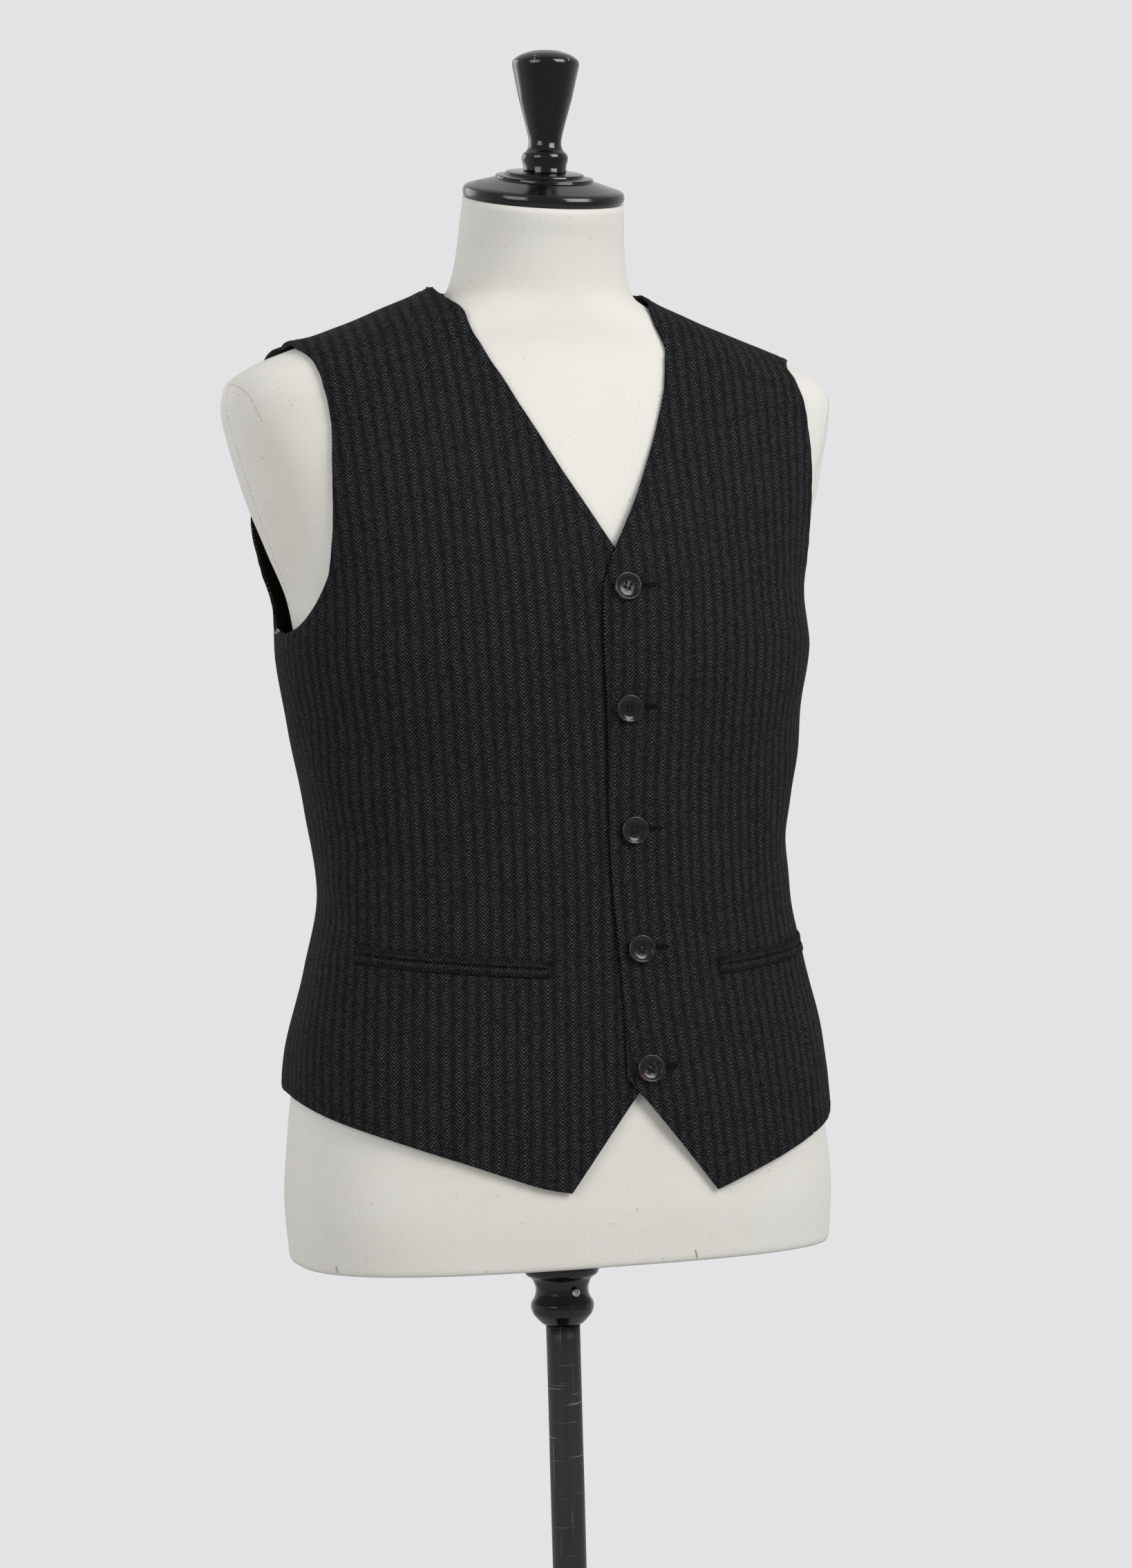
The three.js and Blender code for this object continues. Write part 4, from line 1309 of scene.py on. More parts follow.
# Depth and width of the sewn lines' grooves
DART_GROOVE = (1.3, 1.2)
FACING_GROOVE = (0.35, 2.6)
STITCH_GROOVE = (0.5, 1.0)
EDGE_ROLL = (0.5, 2.2)
EDGE_PUCKER = (0.11, 8)


def near_lines(panel, lines, reach):
    """The rows and columns between which the panel comes within reach of the lines."""
    rows = np.linspace(0, panel.rows, 120)
    columns = np.linspace(0, panel.columns, 90)
    row, column = np.meshgrid(rows, columns, indexing="ij")
    turn, z = np.moveaxis(panel.place(row, column), -1, 0)
    points = plain_cloth(turn, z, 0)
    spans = []
    for line in lines:
        gap, _ = from_line(points, cloth_line(dense_line(line, 20)))
        close = gap < reach
        spans.append((
            rows[close.any(axis=1)].min(), rows[close.any(axis=1)].max(),
            columns[close.any(axis=0)].min(), columns[close.any(axis=0)].max(),
        ))
    return spans


def groove(points, places, depth, width):
    """Depth at each point of a narrow groove along a smooth curve through (turn, z) places."""
    gap, _ = from_line(points, cloth_line(dense_line(places, 30), CLOTH_OUTER))
    return bell(gap, depth, width)


def bell(gap, height, width):
    """A soft rise that is highest where the gap is nothing."""
    return height * np.exp(-((gap / width) ** 2))


def edge_rows(panel):
    """The panel's open edges, as (side, from, to) in its steps."""
    if panel.name == "back":
        return (("bottom", 0, 24), ("top", 7, 17), ("start", 12, 28), ("end", 12, 28))
    return (("bottom", 0, 14), ("start", 0, 28), ("end", 12, 28))


def cloth_panel(panel, settings, wool, lining):
    """Builds one cut piece with its creases, folded edges and sewn grooves."""
    darts = DARTS[panel.name]
    pocket = POCKETS.get(panel.name.replace("front", "pocket"))
    row_focuses = list(ROW_FOCUSES)
    column_focuses = list(COLUMN_FOCUSES[panel.name])
    if pocket:
        low, high, _, _ = near_lines(panel, (pocket,), 9)[0]
        row_focuses.append(((low + high) / 2, (high - low) / 2, 0.5, 0.055))
    for _, _, low, high in near_lines(panel, darts, 3.5):
        column_focuses.append(((low + high) / 2, (high - low) / 2, 0.4, 0.045))
    coarse = COARSE_STEPS[panel.name]
    rows = graded(panel.rows, coarse, row_focuses, EXACT_ROWS[panel.name])
    columns = graded(panel.columns, coarse, column_focuses, EXACT_COLUMNS[panel.name])
    row, column = np.meshgrid(rows, columns, indexing="ij")
    turn, z = np.moveaxis(panel.place(row, column), -1, 0)
    base = plain_cloth(turn, z, CLOTH_OUTER)
    out = np.full(turn.shape, CLOTH_OUTER)
    if panel.lifted:
        out = out + overlap_lift(turn, z)
    for dart in darts:
        out = out - groove(base, dart, *DART_GROOVE)
    if panel.name == "front_right":
        out = out - groove(base, FACING_LINE, *FACING_GROOVE)
    for side, begin, finish in edge_rows(panel):
        at = np.linspace(begin, finish, 90)
        edge = panel.inset(side, at, 0.01)
        gap, share = from_line(base, edge)
        length = np.linalg.norm(np.diff(edge, axis=0), axis=1).sum()
        run = share * length
        waves = np.sin(run / 2.9 + 1.2 * np.sin(run / 17)) + 0.7 * np.sin(run / 1.9 + 2)
        out = out - bell(gap - settings.stitch_inset / MM, *STITCH_GROOVE)
        out = out + waves * bell(gap, *EDGE_PUCKER)
        out = out - bell(gap, *EDGE_ROLL)
    points = plain_cloth(turn, z, out + relief(turn, z))
    flat = on_the_cut(flatten(panel, GRAINS[panel.name]), row, column)
    outward = body_normal(turn[1, 1], z[1, 1])
    facing = np.cross(points[1, 2] - points[1, 1], points[2, 1] - points[1, 1])
    draw_back(points, panel)
    bm = grid_bmesh(points)
    if np.dot(facing, outward) < 0:
        bmesh.ops.reverse_faces(bm, faces=bm.faces)
    piece = make_piece(
        f"{panel.name}_cloth", bm, [wool, lining], replaces=(panel.name,),
    )
    set_cut_map(piece.data, flat.reshape(-1, 2))
    thicken(piece, settings.wall)


def draw_back(points, panel):
    """Opens the seams: draws the sewn edges of a grid of points back by half the gap."""
    half = SEAM_GAP / 2

    def shrink(edge, inner):
        edge += unit(inner - edge) * half

    if panel.name == "back":
        shrink(points[:, 0], points[:, 1])
    shrink(points[:, -1], points[:, -2])
    shrink(points[-1], points[-2])


class WAISTCOAT_OT_panels(bpy.types.Operator):
    """Make the two fronts and the back of herringbone wool"""

    bl_idname = "waistcoat.panels"
    bl_label = "Fronts and Back"

    def execute(self, context):
        settings = context.scene.waistcoat
        wool = woven_wool("herringbone_wool", settings)
        lining = satin_lining(settings)
        for panel in PANELS.values():
            cloth_panel(panel, settings, wool, lining)
        return {"FINISHED"}


# A jet's section: how far from the mouth and how far out, round its fold
JET_SECTION = (
    (0, 0.15), (0, 0.75), (0.35, 1.2), (1.1, 1.45), (2.6, 1.55), (4.1, 1.45), (4.9, 1.15),
    (5.2, 0.7), (5.2, 0.15), (2.6, 0.1),
)


# Half the width at which a pocket's mouth stands open, and the jets' rows and rise
MOUTH_HALF = 1.0
JET_ROWS = 90
JET_RISE = 0.55
# A tack: half its length, how far past the mouth's end it sits, its spacing, length and radius
TACK_HALF = 6.2
TACK_BEYOND = 0.35
TACK_STITCH = (1.5, 1.7, 0.3)
TACK_POINTS = 12


def pocket_line(ends, count):
    """Places along a pocket's mouth, from its inner end to its outer one."""
    ends = np.array(ends, float)
    return ends[0] + (ends[1] - ends[0]) * np.linspace(0, 1, count)[:, None]


def jet_piece(name, ends, direction, material):
    """A folded strip of cloth beside a pocket's mouth."""
    line = pocket_line(ends, JET_ROWS)
    section = np.array([*JET_SECTION, JET_SECTION[0]])
    turn = np.repeat(line[:, :1], len(section), axis=1)
    up = MOUTH_HALF + section[None, :, 0]
    z = line[:, 1:] + up * direction
    rows = np.arange(JET_ROWS)
    from_end = np.minimum(rows, rows[::-1])[:, None]
    tuck = 0.5 * np.exp(-from_end / 1.6)
    waver = 0.08 * np.sin(rows * 0.55 + direction)[:, None]
    out = CLOTH_OUTER + JET_RISE + section[None, :, 1] * (1 - tuck) + waver
    points = cloth_point(turn, z, out)
    spacing = np.linalg.norm(np.diff(points[:, 3], axis=0), axis=1)
    along = np.concatenate([[0], np.cumsum(spacing)])
    around = np.concatenate(
        [[0], np.cumsum(np.linalg.norm(np.diff(section, axis=0), axis=1))]
    )
    bm = grid_bmesh(points)
    lay_cut_map(bm, around, along)
    bmesh.ops.remove_doubles(bm, verts=bm.verts, dist=TINY)
    bmesh.ops.holes_fill(bm, edges=[edge for edge in bm.edges if edge.is_boundary], sides=0)
    bmesh.ops.recalc_face_normals(bm, faces=bm.faces)
    make_piece(f"{name}_cloth", bm, [material], replaces=(name,))


class WAISTCOAT_OT_pockets(bpy.types.Operator):
    """Make the jets of the two pockets and the tacks at their ends"""

    bl_idname = "waistcoat.pockets"
    bl_label = "Pockets"

    def execute(self, context):
        settings = context.scene.waistcoat
        wool = woven_wool("jet_wool", settings)
        thread = spun_thread("tack_thread", settings.thread)
        for name, ends in POCKETS.items():
            for word, direction in (("upper", 1), ("lower", -1)):
                jet_piece(f"{name}_jet_{word}", ends, direction, wool)
            bm = bmesh.new()
            for index, (turn, z) in enumerate(ends):
                to_left = (index == 1) == (ends[1][0] > ends[0][0])
                beyond = TACK_BEYOND if to_left else -TACK_BEYOND
                heights = z + np.linspace(-TACK_HALF, TACK_HALF, TACK_POINTS)
                turns = np.full(TACK_POINTS, turn)
                line = cloth_point(turns + beyond, heights, CLOTH_OUTER + 0.95)
                sewn_line(bm, line, body_normal(turns, heights), *TACK_STITCH)
            make_piece(f"{name}_tacks", bm, [thread])
        return {"FINISHED"}


def button_frame(turn, z):
    """The matrix that lays a button on the left front."""
    normal = Vector(body_normal(np.array(turn, float), np.array(z, float)))
    out = CLOTH_OUTER + float(overlap_lift(turn, z)) + BUTTON_SHANK
    place = Vector(cloth_point(np.array(turn, float), np.array(z, float), out) * MM)
    across = Vector((0, 0, 1)).cross(normal).normalized()
    up = normal.cross(across)
    turned = Matrix((across, up, normal)).transposed().to_4x4()
    return Matrix.Translation(place) @ turned


# How much brown each button shows, and how the buttons are turned
BUTTON_BROWNS = (0.25, 0, 0.05, 0.1, 0.3)
BUTTON_SPIN = 18
BUTTON_SPIN_START = 20
# A button's four holes: how far from both its middle lines, and their radius
HOLE_PLACE = 1.75
HOLE_RADIUS = 0.95
DRILL_LENGTH = 20
BUTTON_ROUNDING = 0.16
BUTTON_ANGLE = 42
# The thread on a button: bars at these shifts, half their length, their height and radius
BAR_SHIFTS = (-0.35, 0.0, 0.35)
BAR_HALF = 2.1
BAR_HEIGHT = 1.75
BAR_RADIUS = 0.3
# Its legs in the holes and its shank beneath: two radii, length and height
LEG = (0.75, 0.6, 3.4, 0.45)
SHANK = (2.2, 1.9, 1.1, -0.4)


def add_cone(bm, segments, sizes, place, x=0, y=0):
    """Adds a capped cone of two radii, a length and a height, in millimetres, at a place."""
    low, high, length, z = (size * MM for size in sizes)
    bmesh.ops.create_cone(
        bm, cap_ends=True, segments=segments, radius1=low, radius2=high, depth=length,
        matrix=place @ Matrix.Translation((x * MM, y * MM, z)),
    )


class WAISTCOAT_OT_buttons(bpy.types.Operator):
    """Make the five four-hole horn buttons and the thread that holds them"""

    bl_idname = "waistcoat.buttons"
    bl_label = "Buttons"

    def execute(self, context):
        settings = context.scene.waistcoat
        thread = spun_thread("button_thread", settings.thread)
        for index, ((turn, z), brown) in enumerate(zip(BUTTONS, BUTTON_BROWNS)):
            name = f"button_{index + 1}"
            horn = polished_horn(
                f"polished_horn_{index + 1}", settings.horn_dark, settings.horn_brown, brown,
            )
            # The rim: brown horn with pale streaks of painted highlight along its raised edge
            rim = polished_horn(
                f"horn_rim_{index + 1}", settings.horn_brown, settings.horn_rim, brown,
            )
            spin = math.radians(BUTTON_SPIN * index - BUTTON_SPIN_START)
            place = button_frame(turn, z) @ Matrix.Rotation(spin, 4, "Z")
            self.turn_horn(name, [horn, rim], place)
            make_piece(f"{name}_thread", self.sew_on(place), [thread])
        return {"FINISHED"}

    def turn_horn(self, name, materials, place):
        """Turns a button, drills its holes and rounds their rims."""
        bm = lathe_bmesh(BUTTON_PROFILE, 64)
        # Faces beyond the rim's radius take the rim's brown horn with its painted highlight
        for face in bm.faces:
            middle = face.calc_center_median()
            face.material_index = int(middle.xy.length > RIM_RADIUS * MM)
        piece = make_piece(f"{name}_horn", bm, materials, replaces=(name,))
        drill = bmesh.new()
        sizes = (HOLE_RADIUS, HOLE_RADIUS, DRILL_LENGTH, 0)
        for x in (HOLE_PLACE, -HOLE_PLACE):
            for y in (HOLE_PLACE, -HOLE_PLACE):
                add_cone(drill, 20, sizes, Matrix(), x, y)
        tool = cut_away(piece, drill)
        round_edges(piece, BUTTON_ROUNDING * MM, BUTTON_ANGLE)
        apply_modifiers(piece, tool).transform(place)

    def sew_on(self, place):
        """The thread of a button: bars over it, legs through it and a shank beneath."""
        threads = bmesh.new()
        for x in (-HOLE_PLACE, HOLE_PLACE):
            for shift in BAR_SHIFTS:
                ends = [(x + shift, y, BAR_HEIGHT) for y in (-BAR_HALF, BAR_HALF)]
                bar = bar_matrix(*ends, (0, 0, 1), BAR_RADIUS)
                bmesh.ops.create_icosphere(threads, subdivisions=2, radius=1, matrix=place @ bar)
            for y in (-HOLE_PLACE, HOLE_PLACE):
                add_cone(threads, 10, LEG, place, x, y)
        add_cone(threads, 16, SHANK, place)
        return threads


# A worked buttonhole: its middle beside the button's, half its length and half its width
BUTTONHOLE_CENTRE = 9.6
BUTTONHOLE_HALF = 10.8
BUTTONHOLE_WIDTH = 1.1
BUTTONHOLE_POINTS = 97
# Its thread: radius, the ribs' height, and the bar of the slit
PURL_RADIUS = 0.75
PURL_RIBS = 0.12
SLIT_DEPTH = 0.35
SLIT_RADIUS = 0.55


def buttonhole_points(turn, z):
    """The rim of a buttonhole beside a button, and the slit's ends."""
    metric = np.linalg.norm(
        body_point(turn + 0.5, z) - body_point(turn - 0.5, z), axis=-1
    )
    half = BUTTONHOLE_HALF
    angle = np.linspace(0, math.tau, BUTTONHOLE_POINTS)
    across = BUTTONHOLE_CENTRE + half * np.sign(np.cos(angle)) * np.abs(np.cos(angle)) ** 0.55
    across = across + 0.4 * (across > BUTTONHOLE_CENTRE + half * 0.9)
    eye = across > BUTTONHOLE_CENTRE + half * 0.75
    up = BUTTONHOLE_WIDTH * np.sin(angle) * (1 + 0.55 * eye)
    return turn + across / metric, z + up + 0.05 * across


class WAISTCOAT_OT_buttonholes(bpy.types.Operator):
    """Work the five buttonholes round their slits"""

    bl_idname = "waistcoat.buttonholes"
    bl_label = "Buttonholes"

    def execute(self, context):
        settings = context.scene.waistcoat
        thread = spun_thread("buttonhole_thread", settings.buttonhole, 1.3)
        bm = bmesh.new()
        for turn, z in BUTTONS:
            turns, levels = buttonhole_points(turn, z)
            lift = overlap_lift(turns, levels)
            middle = cloth_point(turns, levels, CLOTH_OUTER + lift + 0.12)
            normal = body_normal(turns, levels)
            tangent = unit(np.gradient(middle, axis=0))
            side = unit(np.cross(normal, tangent))
            around = np.linspace(0, math.tau, 9)
            ribs = PURL_RIBS * np.sin(np.arange(BUTTONHOLE_POINTS) * math.tau / 3)
            radius = (PURL_RADIUS + ribs)[:, None, None]
            ring = (
                middle[:, None]
                + radius * np.cos(around)[None, :, None] * side[:, None]
                + 0.7 * radius * np.sin(around)[None, :, None] * normal[:, None]
            )
            ring[-1] = ring[0]
            hole = grid_bmesh(ring, close_rows=True, close_columns=True)
            bmesh.ops.recalc_face_normals(hole, faces=hole.faces)
            add_mesh(bm, hole)
            inward = normal[0] * SLIT_DEPTH
            start = middle[BUTTONHOLE_POINTS // 2] - inward
            slit = bar_matrix(start, middle[0] - inward, normal[0], SLIT_RADIUS)
            bmesh.ops.create_icosphere(bm, subdivisions=2, radius=1, matrix=slit)
        make_piece("buttonhole_stitching", bm, [thread])
        return {"FINISHED"}


# An edge stitch: its length as a share of the spacing, and its radius
EDGE_STITCH_SHARE = 0.62
EDGE_STITCH_RADIUS = 0.24


class WAISTCOAT_OT_stitching(bpy.types.Operator):
    """Sew the row of stitches inside each open edge"""

    bl_idname = "waistcoat.stitching"
    bl_label = "Edge Stitching"

    def execute(self, context):
        settings = context.scene.waistcoat
        thread = spun_thread("edge_thread", settings.thread, 2.0)
        inset = settings.stitch_inset / MM
        for panel in PANELS.values():
            bm = bmesh.new()
            for side, begin, finish in edge_rows(panel):
                steps = int(12 * (finish - begin))
                at = np.linspace(begin + 0.3, finish - 0.3, steps)
                points = panel.inset(side, at, inset, CLOTH_OUTER - 0.22)
                spacing = settings.stitch_spacing / MM
                length = EDGE_STITCH_SHARE * spacing
                sewn_line(bm, points, outward_from(points), spacing, length, EDGE_STITCH_RADIUS)
            make_piece(f"{panel.name}_edge_stitching", bm, [thread])
        return {"FINISHED"}


# Depth and width of the hollow before each shoulder cap and of the linen's seams
HOLLOW = (3.6, 13)
ARM_SEAM_GROOVE = (0.35, 1.8)
CENTRE_SEAM_GROOVE = (0.18, 1.6)
# Millimetres of linen to a degree of turn, and the depth and reach of the bottom edge's roll
LINEN_PER_TURN = 3.1
BOTTOM_ROLL = 1.6
# How a pin lies, in degrees and millimetres, and its radius
PIN_LEAN = (0.6, -7.5)
PIN_RADIUS = 0.42


def body_grid():
    """Turns and levels of the linen body, closer together where it is seamed."""
    turns = np.linspace(-180, 180, 241)
    levels = graded(
        NECK_TOP - FORM_BOTTOM, 4.2, ((0, 4, 14, 1.4), (670, 60, 40, 2.4)), (),
    ) + FORM_BOTTOM
    return turns, levels


def body_relief(turn, z):
    """Height of the linen body's hollows and of its slight unevenness."""
    points = body_point(turn, z)
    x, y, height = np.moveaxis(points, -1, 0)
    total = 0.18 * np.sin(x / 23 + height / 41) * np.sin(y / 31 - height / 53)
    for mirror in (1, -1):
        line = dense_line(SHOULDER_HOLLOW, 24)
        gap, share = from_line(points, body_point(mirror * line[:, 0], line[:, 1]))
        taper = np.sin(np.pi * np.clip(share, 0.12, 0.88))
        total = total - taper * bell(gap, *HOLLOW)
        seam = dense_line(ARM_SEAM, 30)
        gap, _ = from_line(points, body_point(mirror * seam[:, 0], seam[:, 1]))
        total = total - bell(gap, *ARM_SEAM_GROOVE)
    total = total - bell(np.abs(x), *CENTRE_SEAM_GROOVE)
    return np.where(z > NECK_TOP - 1, 0, total)


class DRESSFORM_OT_bust(bpy.types.Operator):
    """Make the linen-covered bust with its sewn lines and pins"""

    bl_idname = "dressform.bust"
    bl_label = "Bust"

    def execute(self, context):
        settings = context.scene.dress_form
        linen = stretched_linen(settings)
        turns, levels = body_grid()
        z, turn = np.meshgrid(levels, turns, indexing="ij")
        height = body_relief(turn, z)
        edge = BOTTOM_ROLL * np.exp(-(z - FORM_BOTTOM) / BOTTOM_ROLL)
        points = body_point(turn, z) + body_normal(turn, z) * (height - edge)[..., None]
        points[0, :, 2] = FORM_BOTTOM
        points[:, -1] = points[:, 0]
        bm = grid_bmesh(points)
        lay_cut_map(bm, turns * LINEN_PER_TURN, levels)
        bmesh.ops.remove_doubles(bm, verts=bm.verts, dist=TINY)
        rims = [edge for edge in bm.edges if edge.is_boundary]
        for level in (FORM_BOTTOM, NECK_TOP):
            low = level == FORM_BOTTOM
            ring = [edge for edge in rims if (edge.verts[0].co.z < HALF_WAY * MM) == low]
            centre = Vector((0, 0 if low else NECK_TOP_Y * MM, level * MM))
            for share in (0.96, 0.5):
                grown = bmesh.ops.extrude_edge_only(bm, edges=ring)["geom"]
                moved = [item for item in grown if isinstance(item, bmesh.types.BMVert)]
                for vert in moved:
                    vert.co = centre + (vert.co - centre) * share
                ring = [
                    item for item in grown
                    if isinstance(item, bmesh.types.BMEdge)
                    and item.verts[0] in moved and item.verts[1] in moved
                ]
            bmesh.ops.pointmerge(bm, verts=moved, merge_co=centre)
        bmesh.ops.recalc_face_normals(bm, faces=bm.faces)
        make_piece("dress_form_linen", bm, [linen], replaces=("form_torso",))
        self.sew(settings)
        return {"FINISHED"}

    def sew(self, settings):
        """Adds the hand stitches of the arm seams and darts, and the steel pins."""
        thread = spun_thread("linen_thread", settings.seam_thread, 1.3)
        bm = bmesh.new()
        for mirror in (1, -1):
            for places, spacing in ((ARM_SEAM, 3.4), (SHOULDER_DART, 2.4)):
                line = dense_line(places, 60)
                turn, z = mirror * line[:, 0], line[:, 1]
                normal = body_normal(turn, z)
                height = body_relief(turn, z) + 0.05
                points = body_point(turn, z) + normal * height[:, None]
                sewn_line(bm, points, normal, spacing, 0.8 * spacing, 0.22)
        make_piece("dress_form_stitches", bm, [thread])
        steel = material_once("turned_steel", turned_steel)
        pins = bmesh.new()
        for turn, z in FORM_PINS:
            at = np.array([turn, turn + PIN_LEAN[0]]), np.array([z, z + PIN_LEAN[1]])
            points = body_point(*at) + body_normal(*at) * 0.15
            bmesh.ops.create_icosphere(
                pins, subdivisions=2, radius=1,
                matrix=bar_matrix(points[0], points[1], body_normal(*at)[0], PIN_RADIUS),
            )
        make_piece("dress_form_pins", pins, [steel])


def neck_frame():
    """The matrix of the neck's tilted top."""
    return (
        Matrix.Translation((0, NECK_TOP_Y * MM, NECK_TOP * MM))
        @ Matrix.Rotation(math.radians(NECK_TILT), 4, "X")
    )


class DRESSFORM_OT_neck_top(bpy.types.Operator):
    """Turn the cap and the finial of the neck"""

    bl_idname = "dressform.neck_top"
    bl_label = "Cap and Finial"

    def execute(self, context):
        settings = context.scene.dress_form
        cap_finish = black_lacquer("black_lacquer_cap", settings, 0.1)
        rim = (NECK_TOP + CAP_HEIGHT + 72) * MM
        finial_finish = black_lacquer("black_lacquer_finial", settings, 1.0, chip_from=rim)
        cap = lathe_bmesh(rounded(CAP_PROFILE, 0.9), 128)
        bmesh.ops.transform(
            cap, matrix=neck_frame() @ Matrix.Translation((0, 0, REST_GAP * MM)),
            verts=cap.verts,
        )
        make_piece("neck_cap_lacquer", cap, [cap_finish],
                   replaces=("neck_cap",))
        finial = lathe_bmesh(rounded(FINIAL_PROFILE, 2.2), 96)
        bmesh.ops.rotate(
            finial, cent=(0, 0, 0), verts=finial.verts,
            matrix=Matrix.Rotation(math.radians(FINIAL_TILT - NECK_TILT), 3, "X"),
        )
        cut = bmesh.ops.bisect_plane(
            finial, geom=list(finial.verts) + list(finial.edges) + list(finial.faces),
            plane_co=(0, 0, 0), plane_no=(0, 0, -1), clear_outer=True,
        )
        rim_edges = [
            item for item in cut["geom_cut"] if isinstance(item, bmesh.types.BMEdge)
        ]
        bmesh.ops.holes_fill(finial, edges=rim_edges, sides=0)
        seat = Matrix.Translation((0, 0, (CAP_HEIGHT + 2 * REST_GAP) * MM))
        bmesh.ops.transform(finial, matrix=neck_frame() @ seat, verts=finial.verts)
        bmesh.ops.recalc_face_normals(finial, faces=finial.faces)
        make_piece("finial_lacquer", finial, [finial_finish],
                   replaces=("finial",))
        return {"FINISHED"}


def rounded(profile, radius):
    """The profile with each inner corner cut to a short arc, where its neighbours leave room."""
    result = [profile[0]]
    for before, corner, after in zip(profile[:-2], profile[1:-1], profile[2:]):
        before, corner, after = (np.array(p, float) for p in (before, corner, after))
        legs = [np.linalg.norm(corner - before), np.linalg.norm(after - corner)]
        reach = min(radius, 0.45 * legs[0], 0.45 * legs[1])
        begin = corner + (before - corner) / legs[0] * reach
        finish = corner + (after - corner) / legs[1] * reach
        for t in (0, 0.25, 0.5, 0.75, 1):
            arc = begin * (1 - t) ** 2 + corner * 2 * t * (1 - t) + finish * t ** 2
            result.append(tuple(arc))
    result.append(profile[-1])
    return result


class DRESSFORM_OT_stand(bpy.types.Operator):
    """Turn the collar, the pole and the base, and make the collar's screw"""

    bl_idname = "dressform.stand"
    bl_label = "Stand"

    def execute(self, context):
        settings = context.scene.dress_form
        collar_finish = black_lacquer("black_lacquer_collar", settings, 0.2)
        base_finish = black_lacquer("black_lacquer_base", settings, 0.1)
        lift = Matrix.Translation((0, 0, COLLAR_BOTTOM * MM))
        collar = lathe_bmesh(rounded(COLLAR_PROFILE, 2.4), 96)
        bmesh.ops.transform(collar, matrix=lift, verts=collar.verts)
        make_piece("collar_lacquer", collar, [collar_finish],
                   replaces=("collar",))
        heights = np.linspace(POLE_BOTTOM, POLE_TOP, 60)
        profile = [(0, POLE_BOTTOM)]
        profile += [(POLE_RADIUS + 0.05 * math.sin(h / 23), h) for h in heights]
        profile.append((0, POLE_TOP))
        pole = lathe_bmesh(profile, 64)
        make_piece("pole_paint", pole, [scraped_paint(settings)],
                   replaces=("pole",))
        base = lathe_bmesh(rounded(BASE_PROFILE, 3), 128)
        make_piece("base_lacquer", base, [base_finish], replaces=("base",))
        self.drive_screw()
        return {"FINISHED"}

    def drive_screw(self):
        """Makes the slotted screw on the collar's waist."""
        steel = material_once("turned_steel", turned_steel)
        seat, level, turn = SCREW_SEAT
        screw = lathe_bmesh(rounded(SCREW_PROFILE, 0.5), 40)
        cutter = bmesh.new()
        bmesh.ops.create_cube(
            cutter, size=1,
            matrix=Matrix.Translation((0, 0, 3 * MM)) @ Matrix.Diagonal(
                (9 * MM, 0.8 * MM, 2 * MM, 1)
            ),
        )
        piece = make_piece("collar_screw_steel", screw, [steel],
                           replaces=("collar_screw",))
        tool = cut_away(piece, cutter)
        place = (
            Matrix.Rotation(math.radians(turn), 4, "Z")
            @ Matrix.Translation((0, -seat * MM, level * MM))
            @ Matrix.Rotation(math.radians(90), 4, "X")
            @ Matrix.Rotation(math.radians(60), 4, "Z")
        )
        apply_modifiers(piece, tool).transform(place)


# Each light's place, aim and size in metres, and the setting of its power
LIGHTS = (
    ("key", (1.5, -2.3, 2.7), (0, 0, 1.25), 1.7, "key_power"),
    ("fill", (-2.3, -1.7, 2.1), (0, 0, 1.2), 1.6, "fill_power"),
    ("back", (-1.4, 1.9, 2.2), (0, 0, 1.3), 1.4, "rim_power"),
)


def soft_light(name, place, aim, size, power):
    """A large square light that faces a point."""
    data = bpy.data.lights.new(name, "AREA")
    data.shape = "SQUARE"
    data.size = size
    data.energy = power
    light = link_object(name, data)
    light.location = place
    light.rotation_euler = (Vector(aim) - Vector(place)).to_track_quat("-Z", "Y").to_euler()


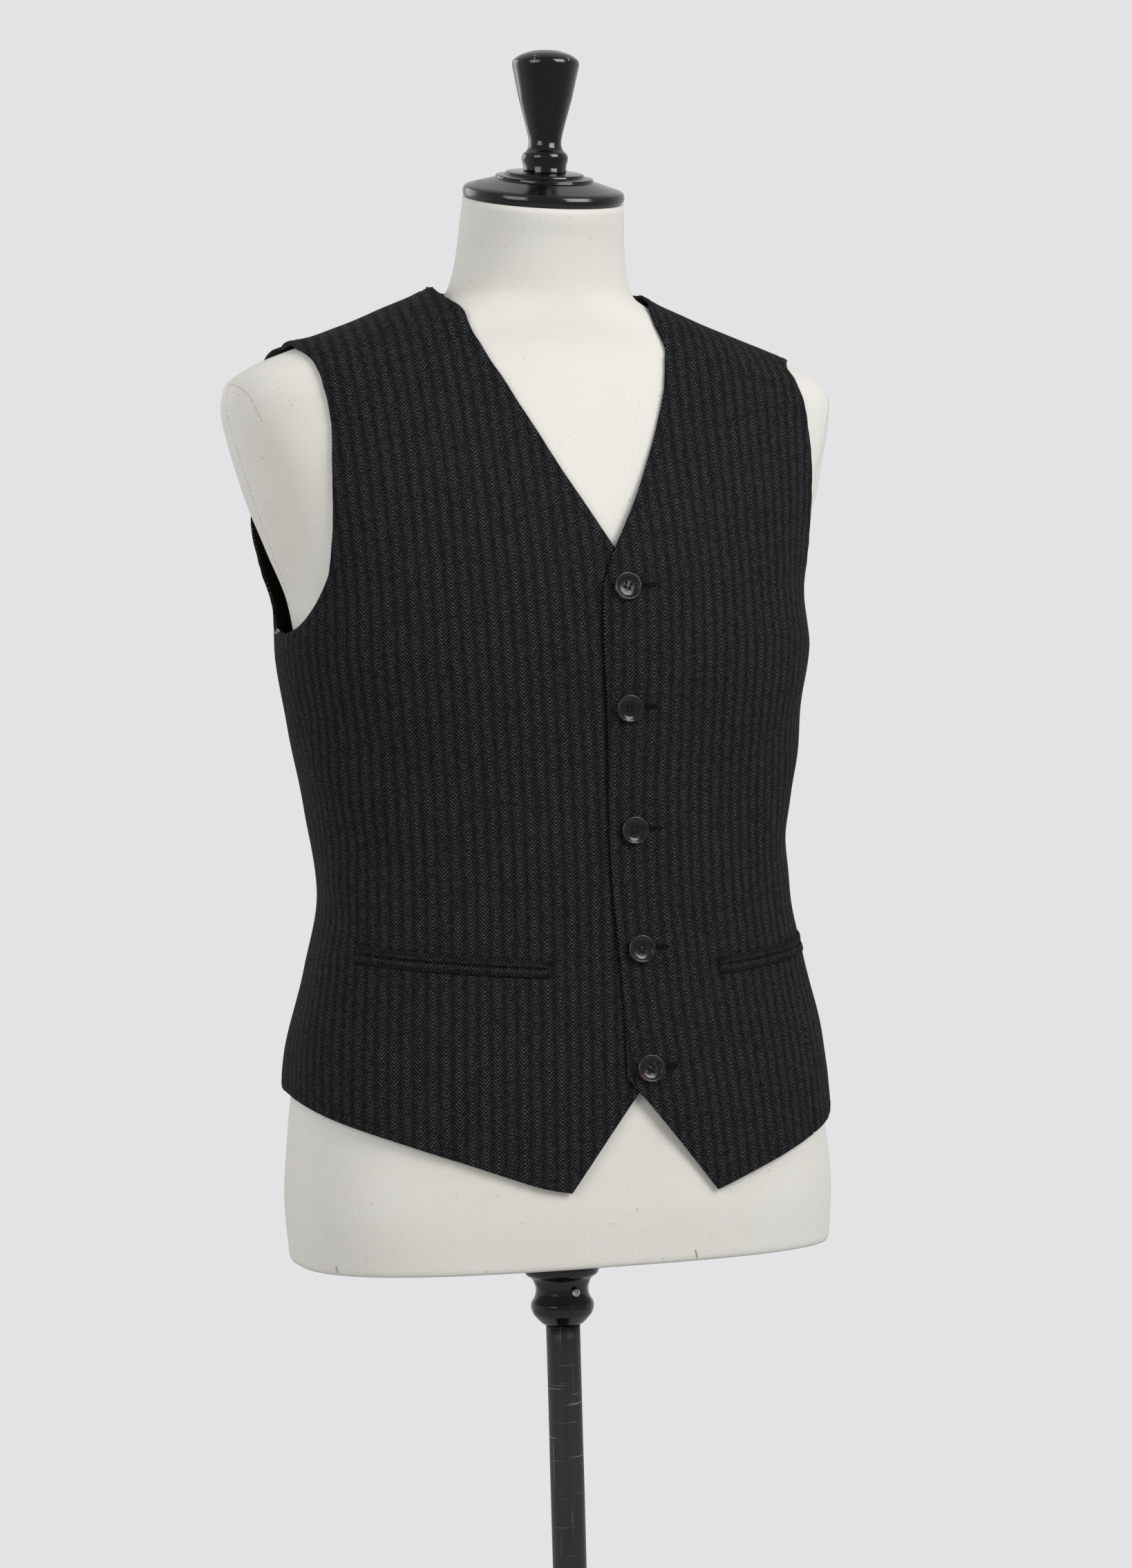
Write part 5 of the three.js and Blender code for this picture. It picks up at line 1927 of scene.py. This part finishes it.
class STUDIO_OT_stage(bpy.types.Operator):
    """Lay the floor, hang the lights and set the photograph's camera"""

    bl_idname = "studio.stage"
    bl_label = "Stage"

    def execute(self, context):
        settings = context.scene.studio
        self.lay_floor(settings)
        self.light(context, settings)
        self.set_camera(context)
        return {"FINISHED"}

    def lay_floor(self, settings):
        """Makes the round floor."""
        bm = bmesh.new()
        bmesh.ops.create_circle(
            bm, cap_ends=True, segments=128, radius=settings.floor_radius,
        )
        mesh = to_mesh("floor", bm)
        mesh.materials.append(plain_stage("matt_paper", settings.floor_colour))
        link_object("floor", mesh)

    def light(self, context, settings):
        """Hangs the soft lights and paints the background."""
        for name, place, aim, size, power in LIGHTS:
            soft_light(name, place, aim, size, getattr(settings, power))
        world = bpy.data.worlds.new("pale_room")
        world.use_nodes = True
        tree = world.node_tree
        place = add_node(tree, "ShaderNodeTexCoord")
        heading = add_node(tree, "ShaderNodeSeparateXYZ", {0: place.outputs["Generated"]})
        strength = add_node(
            tree, "ShaderNodeMapRange",
            {0: heading.outputs[1], 1: -0.5, 2: 0.5, 3: settings.front_light, 4: 1.0},
            interpolation_type="SMOOTHSTEP",
        )
        background = tree.nodes["Background"]
        background.inputs["Color"].default_value = settings.background
        tree.links.new(strength.outputs[0], background.inputs["Strength"])
        context.scene.world = world
        context.scene.view_settings.view_transform = "Standard"

    def set_camera(self, context):
        """Stands the camera where the photograph was taken from."""
        turn, aim, pitch, roll = (
            math.radians(angle)
            for angle in (CAMERA_TURN, CAMERA_AIM, CAMERA_PITCH, CAMERA_ROLL)
        )
        level = Vector((-math.sin(turn - aim), math.cos(turn - aim), 0))
        right = Vector((level.y, -level.x, 0))
        ahead = level * math.cos(pitch) - Vector((0, 0, math.sin(pitch)))
        up = right.cross(ahead)
        rolled_right = right * math.cos(roll) - up * math.sin(roll)
        rolled_up = right * math.sin(roll) + up * math.cos(roll)
        data = bpy.data.cameras.new("camera")
        data.sensor_fit = "AUTO"
        data.sensor_width = 36
        data.lens = CAMERA_LENS
        camera = link_object("camera", data)
        place = Vector((
            math.sin(turn) * CAMERA_DISTANCE, -math.cos(turn) * CAMERA_DISTANCE, CAMERA_HEIGHT,
        ))
        camera.matrix_world = Matrix.Translation(place) @ Matrix(
            (rolled_right, rolled_up, -ahead)
        ).transposed().to_4x4()
        context.scene.camera = camera


class WAISTCOAT_PT_panel(bpy.types.Panel):
    """Lists the pieces and their settings"""

    bl_idname = "WAISTCOAT_PT_panel"
    bl_label = "Waistcoat on a Dress Form"
    bl_space_type = "VIEW_3D"
    bl_region_type = "UI"
    bl_category = "Waistcoat"

    def draw(self, context):
        groups = (
            (context.scene.waistcoat, WaistcoatSettings),
            (context.scene.dress_form, StandSettings),
            (context.scene.studio, StageSettings),
        )
        for operator in OPERATORS:
            self.layout.operator(operator.bl_idname)
        for values, group in groups:
            box = self.layout.box()
            for name in group.__annotations__:
                box.prop(values, name)


OPERATORS = (
    WAISTCOAT_OT_panels,
    WAISTCOAT_OT_pockets,
    WAISTCOAT_OT_buttons,
    WAISTCOAT_OT_buttonholes,
    WAISTCOAT_OT_stitching,
    DRESSFORM_OT_bust,
    DRESSFORM_OT_neck_top,
    DRESSFORM_OT_stand,
    STUDIO_OT_stage,
)
GROUPS = (WaistcoatSettings, StandSettings, StageSettings)
CLASSES = (*GROUPS, *OPERATORS, WAISTCOAT_PT_panel)


def register():
    """Registers the add-on's classes and settings."""
    for cls in CLASSES:
        bpy.utils.register_class(cls)
    bpy.types.Scene.waistcoat = bpy.props.PointerProperty(type=WaistcoatSettings)
    bpy.types.Scene.dress_form = bpy.props.PointerProperty(type=StandSettings)
    bpy.types.Scene.studio = bpy.props.PointerProperty(type=StageSettings)


def unregister():
    """Removes what register added."""
    del bpy.types.Scene.studio
    del bpy.types.Scene.dress_form
    del bpy.types.Scene.waistcoat
    for cls in reversed(CLASSES):
        bpy.utils.unregister_class(cls)


def main():
    """Builds every piece and the stage."""
    register()
    bpy.ops.studio.stage()
    bpy.ops.dressform.bust()
    bpy.ops.dressform.neck_top()
    bpy.ops.dressform.stand()
    bpy.ops.waistcoat.panels()
    bpy.ops.waistcoat.pockets()
    bpy.ops.waistcoat.buttons()
    bpy.ops.waistcoat.buttonholes()
    bpy.ops.waistcoat.stitching()


if __name__ == "__main__":
    main()
